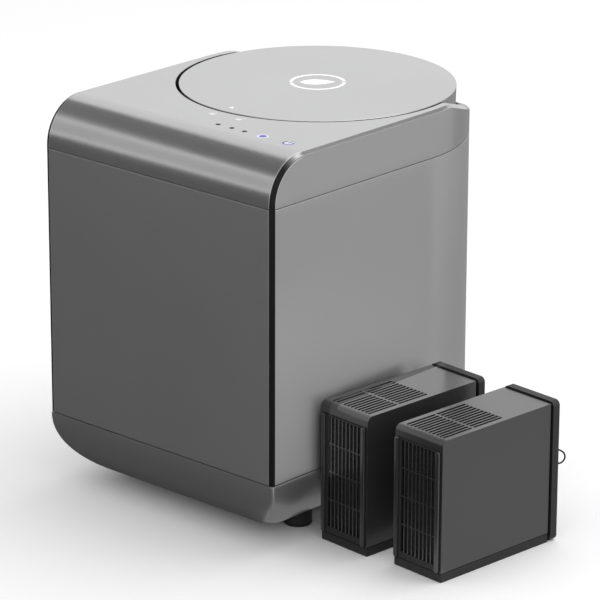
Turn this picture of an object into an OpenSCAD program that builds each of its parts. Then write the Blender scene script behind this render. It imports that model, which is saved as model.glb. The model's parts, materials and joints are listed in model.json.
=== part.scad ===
// Electric food waste composter for a worktop. Its heated, stirred bucket lifts out from under
// a round twist lid. Two carbon filter cartridges slide into the back like drawers, and two
// spare cartridges stand at the machine's side. Millimetres, +Z up, front panel towards -Y.

/* [Case] */
// Width of the case
body_w = 280; // [276:1:300]
// Distance from the front panel to the upright axis of the lid, the bucket and the round back
axis_y = 213.5; // [210:0.5:225]
// Height from the underside of the base to the deck
body_h = 362; // [355:1:400]
// Height of the base tray, from its underside to the lower seam
base_h = 62; // [61:1:75]
// Radius of the rounded lower edge
base_r = 60; // [50:1:60]
// Radius of the rolled front edge of the top
front_r = 42; // [36:1:42]
// Width and depth of the strip let into each front corner
strip_w = 4; // [3.5:0.1:5]
// Chamfer on the strips and along the top side edges
edge_c = 2.7; // [1.5:0.1:3]
// Thickness of the case walls
skin = 2.5; // [2:0.1:3]
// Height of the open line at each seam
seam_gap = 0.8; // [0.6:0.1:1.2]
// Distance from the front panel to the line where the deck starts to fall away
slope_y = 234; // [228:1:250]
// Angle at which the deck falls away to the back
slope_a = 18.5; // [14:0.5:19]
// Radius that eases the deck into its slope
slope_r = 40; // [30:1:42]

/* [Feet] */
// Clearance under the base
foot_h = 5.5; // [4:0.5:8]
// Radius of each rubber foot
foot_r = 13; // [10:0.5:15]
// Sideways place of the front feet
foot_x = 100; // [90:1:104]
// Place of the front feet behind the front panel
foot_y = 78; // [70:1:85]
// Sideways place of the rear feet
rear_foot_x = 75; // [70:1:80]
// Distance of the rear feet behind the lid's axis
rear_foot_back = 61.5; // [50:0.5:65]

/* [Lid] */
// Radius of the lid
lid_r = 128; // [126:0.5:129]
// Height of the lid's round wall
lid_h = 40; // [38:0.5:44]
// How much narrower the lid's wall is at its foot
lid_taper = 1.5; // [0.5:0.1:2]
// Open line between the lid and the deck
lid_gap = 1.3; // [1:0.1:2]
// Thickness of the lid's plastic
lid_t = 3; // [2:0.1:4]
// Radius of the pivot on which the lid's cover turns
lid_hub_r = 12; // [8:0.5:16]

/* [Chamber and bucket] */
// Width of the ledge that carries the chamber inside the lid's recess
ledge_w = 20; // [18:0.5:22]
// Thickness of the chamber's sheet metal
pot_t = 1.5; // [1:0.1:2]
// Space between the chamber and the bucket's rim
pot_gap = 2; // [1:0.1:3]
// Thickness of the bucket
bucket_t = 1.8; // [1.4:0.1:2.4]
// How far the bucket's rim stands out from its wall
rim_out = 4; // [3:0.1:5]
// Thickness of the insulation round the chamber
wrap_t = 6; // [4:0.5:7]
// Radius of the bail's wire
bail_r = 2; // [1.5:0.1:2.5]

/* [Stirrer] */
// Radius of the stirrer's shaft
stir_r = 5; // [4:0.5:6]
// Height of the sleeve that carries the stirrer's arms
stir_h = 78; // [66:1:84]
// Thickness of the stirrer's arms
arm_t = 5; // [4:0.5:7]
// Space between the arms and the bucket's wall
arm_gap = 4; // [3:0.5:8]

/* [Drive] */
// Module of the gear teeth
gear_m = 2.6; // [2.4:0.1:2.7]
// Teeth on the output gear
gear_teeth = 60; // [56:4:60]
// Teeth on the motor's pinion
pinion_teeth = 12; // [11:1:13]
// Thickness of the output gear
gear_h = 9; // [7:0.5:11]
// Radius of the output shaft
shaft_r = 6; // [5:0.5:7]
// Outer radius of the shaft's bearings
bearing_r = 13; // [12:0.5:15]
// Height of the shaft's bearings
bearing_h = 7; // [5:0.5:8]
// Width across the flats of the drive hexagon
hex_w = 12; // [10:0.5:13]
// Radius of the motor
motor_r = 30; // [26:0.5:31]
// Radius of the motor's shaft
motor_shaft_r = 4; // [3:0.5:5]
// Length of the motor
motor_h = 68; // [60:1:72]

/* [Fan] */
// Width and height of the fan's frame
fan_w = 80; // [70:1:82]
// Depth of the fan's frame
fan_t = 25; // [20:1:26]
// Radius of the fan wheel's axle
fan_axle_r = 2; // [1.5:0.1:3]
// Depth of the flat box that spreads the air over the fronts of the bays
plenum_d = 12.5; // [8:0.5:14]
// Radius of the exhaust pipe
pipe_r = 10; // [8:0.5:11]

/* [Filter cartridges] */
// Width of a cartridge
cart_w = 58; // [54:0.5:60]
// Length of a cartridge's housing, without its cap
cart_l = 136; // [128:1:137]
// Height of a cartridge
cart_h = 132.5; // [125:0.5:136]
// Thickness of a cartridge's walls
cart_t = 2; // [1.6:0.1:2.6]
// Radius of the rounded top front edge
cart_r = 6; // [4:0.5:8]
// Height of the base band
band_h = 9; // [7:0.5:11]
// Length of the slot field in the cartridge's top
field_l = 73; // [60:1:80]
// Number of slot rows in the top
top_rows = 11; // [8:1:12]
// How far the two front rails stand out
rail_d = 3; // [2:0.5:4]
// Number of upright slots in the front grille
grille_slots = 9; // [7:1:9]
// How far the cap stands out from the housing all round
cap_out = 1.5; // [1:0.1:2]
// Thickness of the cap
cap_t = 8; // [6:0.5:10]
// Height of the pull loop's middle above the cartridge's foot
loop_z = 70; // [60:1:80]
// Diameter of the pull loop's cord
cord_d = 1.6; // [1.2:0.1:2]
// Space round a cartridge in its bay
bay_gap = 0.8; // [0.5:0.1:1.2]
// Thickness of the bay walls
bay_t = 2; // [1.5:0.1:2.5]

/* [Spare cartridges] */
// Space between the case and the nearer spare cartridge
spare_gap = 1.5; // [1:0.5:40]
// Distance from one spare cartridge to the next
spare_pitch = 86; // [70:1:120]
// Distance of the spare cartridges behind the front panel
spare_y = 64; // [40:1:90]
// Angle at which the spare cartridges stand askew
spare_turn = 4.5; // [0:0.5:10]

/* [Rear panel] */
// Depth of the recess below the back of the case
recess_d = 27.5; // [24:0.5:30]
// Width of the mains inlet's flange
inlet_w = 31; // [28:0.5:34]
// Height of the mains inlet's flange
inlet_h = 24; // [22:0.5:28]
// Number of air slots in the rear panel
vents = 6; // [4:1:6]
// Distance from one air slot to the next
vent_pitch = 5.5; // [5:0.1:6]

/* [Hidden] */
$fn = 96;

// Clearances: a seated face, a turning shaft, and a piece that lifts or slides
seat = 0.3;
run = 0.05;
slack = 0.2;
eps = 0.01;

// Case heights
tray_z = foot_h;
tray_floor = tray_z + skin;
seam_lo = tray_z + base_h;
deck_z = tray_z + body_h;
well_r = lid_r + lid_gap;
well_z = deck_z - lid_h - 1;
seam_hi = well_z - skin;
back_r = body_w / 2;
body_d = axis_y + back_r;

// Bays, with the cartridges standing on their floors
bay_w = cart_w + 2 * bay_gap;
bay_x = (bay_w + bay_t) / 2;
bay_z = tray_floor + 24;
bay_top = bay_z + 2 * bay_t + cart_h + bay_gap + seat;
panel_y = body_d - recess_d;
neck = 2;
cart_y = panel_y + seat - neck - cart_l;
bay_y = cart_y - rail_d - seat - bay_t;
bay_out_x = bay_w + 1.5 * bay_t;

// Gear deck above the bays
plate_t = 4;
plate_z = bay_top + 3;
bearing_z = plate_z - 1;
gear_z = bearing_z + bearing_h + 1;
cover_z = gear_z + gear_h + 3;
cover_bearing_z = cover_z - 1;
dog_z = cover_bearing_z + bearing_h + 1;
dog_t = 2.5;
hex_h = 10;
plenum_y = bay_y - plenum_d;
gear_far = gear_m * (gear_teeth + pinion_teeth) / 2;
motor_y = plenum_y - 2 - motor_r;
motor_x = sqrt(pow(gear_far, 2) - pow(axis_y - motor_y, 2));
motor_a = atan2(motor_y - axis_y, motor_x);
plate_x = gear_m * gear_teeth / 2 + 14;
plate_front = motor_y - motor_r - 12;
plate_back = axis_y + 32;
post_r = 4;
post_x = bay_out_x + post_r + 8;
motor_hub_r = 12;
post_ys = [plate_front + 8, axis_y + 20];

// Chamber and bucket
flange_r = well_r - 10;
pot_r = well_r - lid_gap - ledge_w - 4;
coupler_z = dog_z + dog_t + 0.5;
coupler_h = hex_h + 2;
pot_z = coupler_z + coupler_h;
heater_t = 6;
element_r = pot_r - 34;
element_t = 3;
bucket_z = pot_z + pot_t + seat;
bucket_r = pot_r - pot_gap - rim_out;
bush_h = 14;
rim_z = well_z + 7.5;
rim_t = 3;
bail_z = rim_z + rim_t + bail_r + seat;
bail_arc = bucket_r + rim_out + 3;
ear_x = bucket_r + 1;
ear_t = 3;
hole_r = stir_r + 12;
coupler_r = hole_r - 4;

// Stirrer: how far the scrapers reach below and above the arms' foot, and the height of each
// shorter pair of arms with how much shorter it is
scraper_drop = 8;
scraper_rise = 44;
mid_rise = 28;
mid_short = 24;
top_rise = 54;
top_short = 34;

// Lid
core_r = lid_r - lid_taper - lid_t - 5;
core_t = 3;
core_z = bail_z + bail_r + 9.5;
core_foot = well_z + pot_t + seat + 3;
hub_top = deck_z - lid_t - 2;
magnet_a = 200;
magnet_r = 2;
magnet_h = 4;

// Fan in front of the plenum, and the exhaust pipe that rises from its cowl past the gear plate
pipe_x = -(plate_x + pipe_r + 3);
fan_x = pipe_x - pipe_r - 4 + fan_w / 2;
fan_z = bay_z + bay_t + cart_h / 2 + 4;
cowl_d = 24;
cowl_y = plenum_y - fan_t - cowl_d;
pipe_y = cowl_y + cowl_d / 2;
pipe_top = well_z - 28;
branch_r = pipe_r - 2;
pipe_far = sqrt(pow(pipe_x, 2) + pow(axis_y - pipe_y, 2));
pipe_turn = atan2(axis_y - pipe_y, -pipe_x);

// Circuit boards: the power board stands on the tray's floor
board_t = 1.6;
board_w = 96;
board_d = 26.5;
stand_off = 8;

// Rear panel
recess_x = bay_out_x + 13;
recess_z0 = bay_z - 4;
recess_z1 = pot_z - 2;
service_z = (bay_top + recess_z1) / 2;
inlet_x = -40;
vent_h = 3;
screw_r = 1.5;
screw_x = bay_out_x + 6;
screw_zs = [bay_z + 24, bay_top - 18];
boss_top = tray_floor + 8;

// Spare cartridges and the place of the origin under the middle of everything
spare_x = [body_w / 2 + spare_gap, body_w / 2 + spare_gap + spare_pitch];
spare_right = spare_x[1] + (cart_w + cap_out) * cos(spare_turn)
  + (cart_l + neck + cap_t) * sin(spare_turn);
origin_x = (spare_right - body_w / 2) / 2;
origin_y = body_d / 2;

// Marks and lenses on the deck, measured from the machine's middle and its front panel
lens_xs = [27.5, 44.2, 59.4, 81.4];
lens_y = 51.5;
lens_r = 1.6;
power_x = 111.5;
power_r = 6;

// The pull loop's route behind the cap: distance back, and height against the loop's middle
loop_route = [[0, 4], [3.5, 4], [8, 4.2], [13, 4], [18, 3.4], [23, 2.2], [28, 0.6], [32.5, -1.6],
  [36.5, -4.2], [39.4, -7.4], [39.8, -11.2], [37, -14], [32.5, -14.4], [27.5, -13], [22, -10.8],
  [16.5, -8.4], [11, -6], [6, -4.2], [0, -4]];

// ---------------------------------------------------------------- shared shapes

// Moves a piece from the machine's own axes to the row's origin
module machine() {
  translate([-origin_x, -origin_y, 0]) children();
}

// The case seen from above: straight sides and a half-round back
module plan(inset = 0) {
  translate([-back_r + inset, inset]) square([body_w - 2 * inset, axis_y - inset]);
  translate([0, axis_y]) circle(back_r - inset);
}

module plan_block(inset, z0, z1) {
  translate([0, 0, z0]) linear_extrude(z1 - z0) plan(inset);
}

module at_axis(z = 0) {
  translate([0, axis_y, z]) children();
}

module ring(r_out, r_in, h) {
  difference() {
    cylinder(r = r_out, h = h);
    translate([0, 0, -1]) cylinder(r = r_in, h = h + 2);
  }
}

module box(x0, x1, y0, y1, z0, z1) {
  translate([x0, y0, z0]) cube([x1 - x0, y1 - y0, z1 - z0]);
}

module rounded(w, h, r) {
  translate([r, 0]) square([w - 2 * r, h]);
  translate([0, r]) square([w, h - 2 * r]);
  for (x = [r, w - r], y = [r, h - r]) translate([x, y]) circle(r);
}

// Extrudes a Y-Z outline along X, between two places
module along_x(x0, x1) {
  translate([x0, 0, 0]) rotate([90, 0, 90]) linear_extrude(x1 - x0) children();
}

// Extrudes an X-Z outline along Y, between two places
module along_y(y0, y1) {
  translate([0, y1, 0]) rotate([90, 0, 0]) linear_extrude(y1 - y0) children();
}

// Side outline of the deck: rolled front edge, level top, eased fall to the back
module deck_side(inset = 0) {
  low = seam_hi - slope_r;
  run_y = slope_y + (slope_r - inset) * sin(slope_a);
  run_z = deck_z - slope_r + (slope_r - inset) * cos(slope_a);
  end_y = body_d + 20;
  translate([front_r, deck_z - front_r]) circle(front_r - inset);
  translate([slope_y, deck_z - slope_r]) circle(slope_r - inset);
  polygon([[inset, low], [inset, deck_z - front_r], [front_r, deck_z - front_r],
    [front_r, deck_z - inset], [slope_y, deck_z - inset], [slope_y, deck_z - slope_r],
    [run_y, run_z], [end_y, run_z - (end_y - run_y) * tan(slope_a)], [end_y, low]]);
}

// Solid of the base with its rounded lower edge, up to a height
module base_solid(inset, z1) {
  r = base_r - inset;
  intersection() {
    plan_block(inset, tray_z + inset, z1);
    union() {
      intersection() {
        along_y(-1, axis_y) {
          for (s = [-1, 1]) translate([s * (back_r - base_r), tray_z + base_r]) circle(r);
          translate([-back_r + base_r, tray_z]) square([body_w - 2 * base_r, base_h + base_r]);
          translate([-back_r, tray_z + base_r]) square([body_w, base_h]);
        }
        along_x(-body_w, body_w) {
          translate([base_r, tray_z + base_r]) circle(r);
          translate([base_r, tray_z]) square([body_d, base_h + base_r]);
          translate([0, tray_z + base_r]) square([body_d, base_h]);
        }
      }
      at_axis() rotate_extrude(angle = 180) {
        intersection() {
          translate([back_r - base_r, tray_z + base_r]) circle(r);
          translate([0, 0]) square([body_w, body_h]);
        }
        translate([0, tray_z]) square([back_r - base_r, base_h + base_r]);
        translate([0, tray_z + base_r]) square([back_r, base_h]);
      }
    }
  }
}

// Room for the strip let into a front corner, and with a chamfer the strip itself
module strip_outline(chamfer) {
  polygon([[back_r - strip_w, 0], [back_r - chamfer, 0], [back_r, chamfer], [back_r, strip_w],
    [back_r - strip_w, strip_w]]);
}

module strip_sweep(chamfer, z0) {
  translate([0, 0, z0]) linear_extrude(deck_z - front_r - z0) strip_outline(chamfer);
  translate([0, front_r, deck_z - front_r])
    rotate([0, 90, 0]) rotate([0, 0, 180]) rotate_extrude(angle = 90)
      polygon([[front_r, back_r - strip_w], [front_r, back_r - chamfer],
        [front_r - chamfer, back_r], [front_r - strip_w, back_r],
        [front_r - strip_w, back_r - strip_w]]);
}

module both_sides() {
  children();
  mirror([1, 0, 0]) children();
}

// ---------------------------------------------------------------- case

module base_tray() {
  color("dimgray") machine() {
    difference() {
      union() {
        difference() {
          base_solid(0, seam_lo);
          base_solid(skin, seam_lo + 1);
        }
        intersection() {
          base_solid(0, seam_lo);
          union() {
            for (p = foot_places()) translate([p[0], p[1], tray_z])
              cylinder(r = 4 * screw_r, h = boss_top - tray_z);
            for (s = [-1, 1]) box(s * bay_x - 2, s * bay_x + 2, bay_y + 6, panel_y - 14, tray_z, bay_z);
          }
        }
        tongue(seam_lo - 6, seam_lo, seam_lo + 6);
      }
      recess_cut();
      for (p = foot_places()) translate([p[0], p[1], 0]) cylinder(r = screw_r + run, h = boss_top + 1);
    }
  }
}

// Lip inside a seam: fused to its own piece between z0 and z1, and clear of the next one up to z2
module tongue(z0, z1, z2) {
  low = min(z0, z2);
  high = max(z0, z2);
  difference() {
    union() {
      plan_block(skin - 0.1, min(z0, z1), max(z0, z1));
      plan_block(skin + slack, low, high);
    }
    plan_block(skin + slack + 1.6, low - 1, high + 1);
    box(-back_r, back_r, -1, strip_w + 2, low - 1, high + 1);
  }
}

function foot_places() = [for (s = [-1, 1]) [s * foot_x, foot_y],
  for (s = [-1, 1]) [s * rear_foot_x, axis_y + rear_foot_back]];

// Round feet, each cut on top to the rounded edge that it is screwed to
module rubber_feet() {
  color("black") machine() difference() {
    for (p = foot_places()) translate([p[0], p[1], 0]) difference() {
      union() {
        cylinder(r1 = foot_r - 1, r2 = foot_r, h = 1);
        translate([0, 0, 1]) cylinder(r = foot_r, h = boss_top);
      }
      translate([0, 0, -1]) cylinder(r = 2.5 * screw_r, h = 3);
      translate([0, 0, -1]) cylinder(r = screw_r + slack, h = boss_top + 2);
    }
    base_solid(0, seam_lo);
  }
}

module front_panel() {
  edge = back_r - strip_w;
  color("dimgray") machine() {
    box(-edge, edge, 0, skin, seam_lo + seam_gap, seam_hi - seam_gap);
    for (z = [seam_lo + 20, seam_hi - 30]) box(-edge, edge, skin, skin + 3, z, z + 3);
  }
}

// The box cut out of the back of the case for the rear panel
module recess_cut(grow = 0) {
  box(-recess_x - grow, recess_x + grow, panel_y - skin - grow, body_d + 5,
    recess_z0 - grow, recess_z1 + grow);
}

module wrap_shell() {
  color("darkgray") machine() difference() {
    plan_block(0, seam_lo + seam_gap, seam_hi - seam_gap);
    plan_block(skin, seam_lo, seam_hi);
    box(-body_w, body_w, -1, strip_w, seam_lo, seam_hi);
    recess_cut(slack);
  }
}

module top_shell() {
  color("silver") machine() difference() {
    union() {
      intersection() {
        plan_block(0, seam_hi, deck_z);
        along_x(-back_r, back_r) deck_side();
        union() {
          difference() {
            plan_block(0, seam_hi - 1, deck_z + 1);
            intersection() {
              plan_block(skin, seam_hi - 2, deck_z + 2);
              along_x(-back_r, back_r) deck_side(skin);
            }
          }
          at_axis(seam_hi) cylinder(r = well_r + skin, h = lid_h + 10);
        }
      }
      tongue(seam_hi + 4, seam_hi, seam_hi - 6);
    }
    at_axis(well_z) cylinder(r = well_r, h = lid_h + 10);
    at_axis(seam_hi - 1) cylinder(r = pot_r + pot_t + slack, h = lid_h);
    both_sides() strip_sweep(0, seam_hi - 10);
    both_sides() along_y(front_r, slope_y)
      polygon([[back_r - edge_c, deck_z + eps], [back_r + eps, deck_z + eps],
        [back_r + eps, deck_z - edge_c]]);
    for (x = lens_xs) translate([x, lens_y, deck_z - 2 * skin]) cylinder(r = lens_r + run, h = 10);
    translate([power_x, lens_y, deck_z - 2 * skin]) cylinder(r = power_r + run, h = 10);
    at_axis(seam_hi - 1) rotate([0, 0, magnet_a]) translate([well_r - 4, 0, 0])
      cylinder(r = 1.5, h = 2);
  }
}

module corner_strips() {
  color("black") machine() both_sides() strip_sweep(edge_c, seam_lo + seam_gap);
}

// ---------------------------------------------------------------- controls and boards

module lens(x, r) {
  translate([x, lens_y, deck_z - skin - 1]) cylinder(r = r, h = skin + 1);
  translate([x, lens_y, deck_z - skin - 1]) cylinder(r = r + 1, h = 1 - eps);
}

module status_lenses() {
  color("black") machine() for (x = lens_xs) lens(x, lens_r);
}

module power_lens() {
  color("royalblue") machine() lens(power_x, power_r);
}

module touch_board() {
  top = deck_z - skin - 1 - seat;
  half = 2 * power_r;
  x0 = lens_xs[0] - power_r - 4;
  x1 = power_x + power_r + 3;
  color("darkgreen") machine() {
    box(x0, x1, lens_y - half, lens_y + half, top - board_t, top);
    for (x = [x0 + 3, x1 - 3], y = [3 - half, half - 3])
      translate([x, lens_y + y, top]) cylinder(r = 2, h = 1 + seat - slack);
    box(lens_xs[2] - 2 * power_r, lens_xs[2], lens_y + half - 9, lens_y + half - 2,
      top - board_t - power_r / 2, top - board_t);
  }
}

module power_board() {
  low = tray_floor + stand_off;
  top = low + board_t;
  y0 = base_r + stand_off + 4;
  y1 = y0 + board_d;
  color("darkgreen") machine() {
    box(-board_w / 2, board_w / 2, y0, y1, low, top);
    for (x = [6 - board_w / 2, board_w / 2 - 6], y = [y0 + 4, y1 - 4])
      translate([x, y, tray_floor]) cylinder(r = 3, h = stand_off + eps);
    translate([-board_w / 4, (y0 + y1) / 2, top - eps]) cylinder(r = board_d / 3, h = board_d);
    box(-board_w / 12, board_w / 4, y0 + 3, y1 - 3, top - eps, top + board_d);
  }
}

// ---------------------------------------------------------------- lid

module lid_cover() {
  foot = well_z + 1;
  color("silver") machine() at_axis() difference() {
    translate([0, 0, foot]) cylinder(r1 = lid_r - lid_taper, r2 = lid_r, h = lid_h);
    translate([0, 0, foot - 1])
      cylinder(r1 = lid_r - lid_taper - lid_t, r2 = lid_r - lid_t, h = lid_h + 1 - lid_t);
    rotate([0, 0, magnet_a]) translate([lid_r - lid_taper - lid_t, 0, foot - 1])
      cylinder(r = magnet_r + slack, h = magnet_h + 2);
  }
  color("silver") machine() at_axis(core_z + core_t + seat)
    ring(lid_hub_r + 4, lid_hub_r + run, deck_z - lid_t - core_z - core_t - seat + eps);
}

module lid_core() {
  color("dimgray") machine() at_axis() {
    translate([0, 0, core_z]) cylinder(r = core_r, h = core_t);
    translate([0, 0, core_foot]) ring(core_r, core_r - core_t, core_z - core_foot + eps);
    translate([0, 0, core_z + core_t - eps]) cylinder(r = lid_hub_r, h = hub_top - core_z - core_t);
    for (a = [0 : 60 : 300]) rotate([0, 0, a])
      box(lid_hub_r + 6, core_r - 6, -1, 1, core_z + core_t - eps, core_z + core_t + 3);
  }
}

module lid_seal() {
  color("black") machine() at_axis(well_z + pot_t + seat)
    ring(core_r, flange_r - 9, core_foot - well_z - pot_t - seat);
}

module lid_magnet() {
  color("lightgray") machine() at_axis(well_z + 1.5) rotate([0, 0, magnet_a])
    translate([lid_r - lid_taper - lid_t, 0, 0]) cylinder(r = magnet_r, h = magnet_h);
}

// Magnetic switch under the lid's ledge, with no part that moves
module lid_sensor() {
  color("black") machine() at_axis() rotate([0, 0, magnet_a])
    box(well_r - 10, well_r + 1, -8, 8, seam_hi - 6, seam_hi);
}

// ---------------------------------------------------------------- chamber and bucket

module chamber_pot() {
  color("lightgray") machine() at_axis() difference() {
    union() {
      translate([0, 0, pot_z]) cylinder(r = pot_r + pot_t, h = well_z - pot_z + pot_t);
      translate([0, 0, well_z]) cylinder(r = flange_r, h = pot_t);
    }
    translate([0, 0, pot_z + pot_t]) cylinder(r = pot_r, h = body_h);
    translate([0, 0, pot_z - 1]) cylinder(r = hole_r, h = 10);
    translate([0, 0, pipe_top]) rotate([0, 0, 180 + pipe_turn]) rotate([0, 90, 0])
      cylinder(r = branch_r - 1.5, h = body_w / 2);
  }
}

module insulation() {
  inner = pot_r + pot_t + seat;
  color("beige") machine() at_axis() difference() {
    translate([0, 0, pot_z]) ring(inner + wrap_t, inner, seam_hi - pot_z - 8);
    translate([0, 0, pipe_top]) rotate([0, 0, 180 + pipe_turn]) rotate([0, 90, 0])
      cylinder(r = branch_r + seat, h = body_w / 2);
  }
}

module heater_plate() {
  color("gray") machine() at_axis(pot_z - heater_t) difference() {
    union() {
      ring(pot_r - 12, hole_r, heater_t);
      translate([0, 0, -element_t]) ring(element_r, element_r - 8, element_t + eps);
    }
    for (a = [45 : 90 : 315]) rotate([0, 0, a]) translate([pot_r - 20, 0, -1])
      cylinder(r = screw_r, h = heater_t + 2);
  }
}

module bucket() {
  color("darkslategray") machine() at_axis() {
    difference() {
      union() {
        translate([0, 0, bucket_z]) cylinder(r = bucket_r, h = rim_z + rim_t - bucket_z);
        translate([0, 0, rim_z]) cylinder(r = bucket_r + rim_out, h = rim_t);
      }
      translate([0, 0, bucket_z + bucket_t]) cylinder(r = bucket_r - bucket_t, h = body_h);
      translate([0, 0, bucket_z - 1]) cylinder(r = stir_r + 3, h = 10);
    }
    translate([0, 0, bucket_z]) ring(stir_r + 9, stir_r + 3, bush_h);
    for (s = [-1, 1]) difference() {
      box(s * ear_x - ear_t / 2, s * ear_x + ear_t / 2, -7, 7, rim_z + rim_t - eps, bail_z + 5);
      translate([s * ear_x - ear_t, 0, bail_z]) rotate([0, 90, 0])
        cylinder(r = bail_r + run, h = 2 * ear_t);
    }
  }
}

module bucket_bush() {
  color("peru") machine() at_axis(bucket_z)
    ring(stir_r + 3 - 0.01, stir_r + run, bush_h);
}

module bucket_bail() {
  color("lightgray") machine() at_axis(bail_z) {
    rotate_extrude(angle = 180) translate([bail_arc, 0]) circle(bail_r - slack);
    for (s = [-1, 1]) translate([s * (ear_x - ear_t), 0, 0]) rotate([0, 90 * s, 0])
      cylinder(r = bail_r, h = bail_arc - ear_x + ear_t + bail_r);
  }
}

// ---------------------------------------------------------------- stirrer

module stirrer() {
  color("gray") machine() at_axis() difference() {
    union() {
      translate([0, 0, coupler_z]) cylinder(r = coupler_r, h = coupler_h - 1);
      translate([0, 0, coupler_z + coupler_h - 2])
        cylinder(r = stir_r, h = bucket_z + bush_h + stir_h + 5 - coupler_z - coupler_h);
      translate([0, 0, bucket_z + bush_h + stir_h + 2 * seat]) cylinder(r = stir_r + 3, h = 6);
    }
    translate([0, 0, coupler_z - 1]) cylinder(d = (hex_w + 2 * slack) / cos(30), h = hex_h + 1, $fn = 6);
  }
}

// A sleeve with two long scraping arms at the floor and two pairs of shorter arms above them
module stirrer_arms() {
  reach = bucket_r - bucket_t - arm_gap;
  low = bucket_z + bush_h + seat;
  root = stir_r + 6;
  color("gray") machine() at_axis() {
    translate([0, 0, low]) ring(stir_r + 6, stir_r + 0.01, stir_h);
    for (a = [0, 180]) rotate([0, 0, a]) {
      box(root - 3, reach, -arm_t / 2, arm_t / 2, low + 2, low + 2 + 2 * arm_t);
      box(reach - arm_t, reach, -arm_t / 2, arm_t / 2, low - scraper_drop, low + scraper_rise);
    }
    for (a = [60, 240]) rotate([0, 0, a])
      box(root - 3, reach - mid_short, -arm_t / 2, arm_t / 2, low + mid_rise, low + mid_rise + 2 * arm_t);
    for (a = [120, 300]) rotate([0, 0, a])
      box(root - 3, reach - top_short, -arm_t / 2, arm_t / 2, low + top_rise, low + top_rise + 2 * arm_t);
  }
}

// ---------------------------------------------------------------- drive

// Outline of a spur gear with straight-sided teeth, one tooth pointing along +X
function gear_points(n, m) = [for (i = [0 : n - 1], k = [0 : 3])
  let (a = 360 / n * (i + [-0.27, -0.1, 0.1, 0.27][k]),
       r = m * n / 2 + [-1.2 * m, 0.85 * m, 0.85 * m, -1.2 * m][k])
  [r * cos(a), r * sin(a)]];

module output_gear() {
  pitch_r = gear_m * gear_teeth / 2;
  color("white") machine() at_axis(gear_z) difference() {
    union() {
      linear_extrude(gear_h) rotate(motor_a) polygon(gear_points(gear_teeth, gear_m));
      translate([0, 0, slack - 1]) cylinder(r = shaft_r + 3, h = gear_h + 3 - 2 * slack);
    }
    translate([0, 0, -2]) cylinder(r = shaft_r + 0.01, h = gear_h + 6);
    for (a = [30 : 60 : 330]) rotate([0, 0, a]) translate([pitch_r / 2 + 4, 0, -1])
      cylinder(r = pitch_r / 5, h = gear_h + 2);
  }
}

module output_shaft() {
  color("silver") machine() at_axis() {
    translate([0, 0, bearing_z - 1]) cylinder(r = shaft_r, h = dog_z - bearing_z + 1 + eps);
    translate([0, 0, dog_z]) cylinder(r = coupler_r, h = dog_t);
    translate([0, 0, dog_z + dog_t - eps]) cylinder(d = hex_w / cos(30), h = hex_h, $fn = 6);
  }
}

module bearings() {
  color("lightgray") machine() for (z = [bearing_z, cover_bearing_z])
    at_axis(z) ring(bearing_r, shaft_r + run, bearing_h);
}

module gear_plate() {
  color("lightgray") machine() difference() {
    box(-plate_x, plate_x, plate_front, plate_back, plate_z, plate_z + plate_t);
    at_axis(plate_z - 1) cylinder(r = bearing_r + 0.01, h = plate_t + 2);
    translate([motor_x, motor_y, plate_z - 1]) cylinder(r = motor_hub_r, h = plate_t + 2);
  }
}

module gear_cover() {
  half = bearing_r + 5;
  leg = 2 * plate_t;
  color("lightgray") machine() difference() {
    union() {
      box(-plate_x, plate_x, axis_y - half, axis_y + half, cover_z, cover_z + plate_t);
      for (x = [-plate_x, plate_x - leg]) box(x, x + leg, axis_y - half + leg, axis_y + half - leg,
        plate_z + plate_t, cover_z + eps);
    }
    at_axis(cover_z - 1) cylinder(r = bearing_r + 0.01, h = plate_t + 2);
  }
}

// Posts under the gear plate, each cut at its foot to the rounded floor that it stands on
module frame_posts() {
  color("gray") machine() intersection() {
    for (x = [-post_x, post_x], y = post_ys)
      translate([x, y, tray_floor]) cylinder(r = post_r, h = plate_z - tray_floor);
    union() {
      base_solid(skin, seam_lo);
      plan_block(skin, seam_lo - eps, plate_z);
    }
  }
}

module motor() {
  color("dimgray") machine() translate([motor_x, motor_y, plate_z]) difference() {
    union() {
      translate([0, 0, -motor_h]) cylinder(r = motor_r, h = motor_h);
      cylinder(r = motor_hub_r - slack, h = plate_t - 1);
      translate([0, 0, -motor_h - 4]) cylinder(r = 2 * motor_shaft_r, h = 4 + eps);
    }
    translate([0, 0, -9]) cylinder(r = motor_shaft_r + run, h = 9 + plate_t);
  }
}

// The pinion with the motor's shaft that carries it
module motor_pinion() {
  color("gold") machine() translate([motor_x, motor_y, 0]) {
    translate([0, 0, plate_z - 8]) cylinder(r = motor_shaft_r, h = gear_z + gear_h + 2 - plate_z + 8);
    translate([0, 0, plate_z + plate_t - 1 + seat])
      cylinder(r = motor_shaft_r + 2, h = gear_z - plate_z - plate_t + 1);
    translate([0, 0, gear_z - 0.5]) linear_extrude(gear_h + 1)
      rotate(motor_a + 180 + 180 / pinion_teeth) polygon(gear_points(pinion_teeth, gear_m));
  }
}

// ---------------------------------------------------------------- air path

module at_fan(y) {
  translate([fan_x, y, fan_z]) rotate([-90, 0, 0]) children();
}

module fan_frame() {
  color("black") machine() difference() {
    box(fan_x - fan_w / 2, fan_x + fan_w / 2, plenum_y - fan_t, plenum_y,
      fan_z - fan_w / 2, fan_z + fan_w / 2);
    difference() {
      at_fan(plenum_y - fan_t - 1) cylinder(r = fan_w / 2 - 2, h = fan_t + 2);
      at_fan(plenum_y - 4) cylinder(r = fan_w / 4, h = 4);
      for (a = [45, 135]) translate([fan_x, plenum_y - 4, fan_z]) rotate([0, a, 0])
        box(-fan_w, fan_w, 0, 4, -2, 2);
    }
    at_fan(plenum_y - 5) cylinder(r = fan_axle_r + run, h = 4);
  }
}

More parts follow.
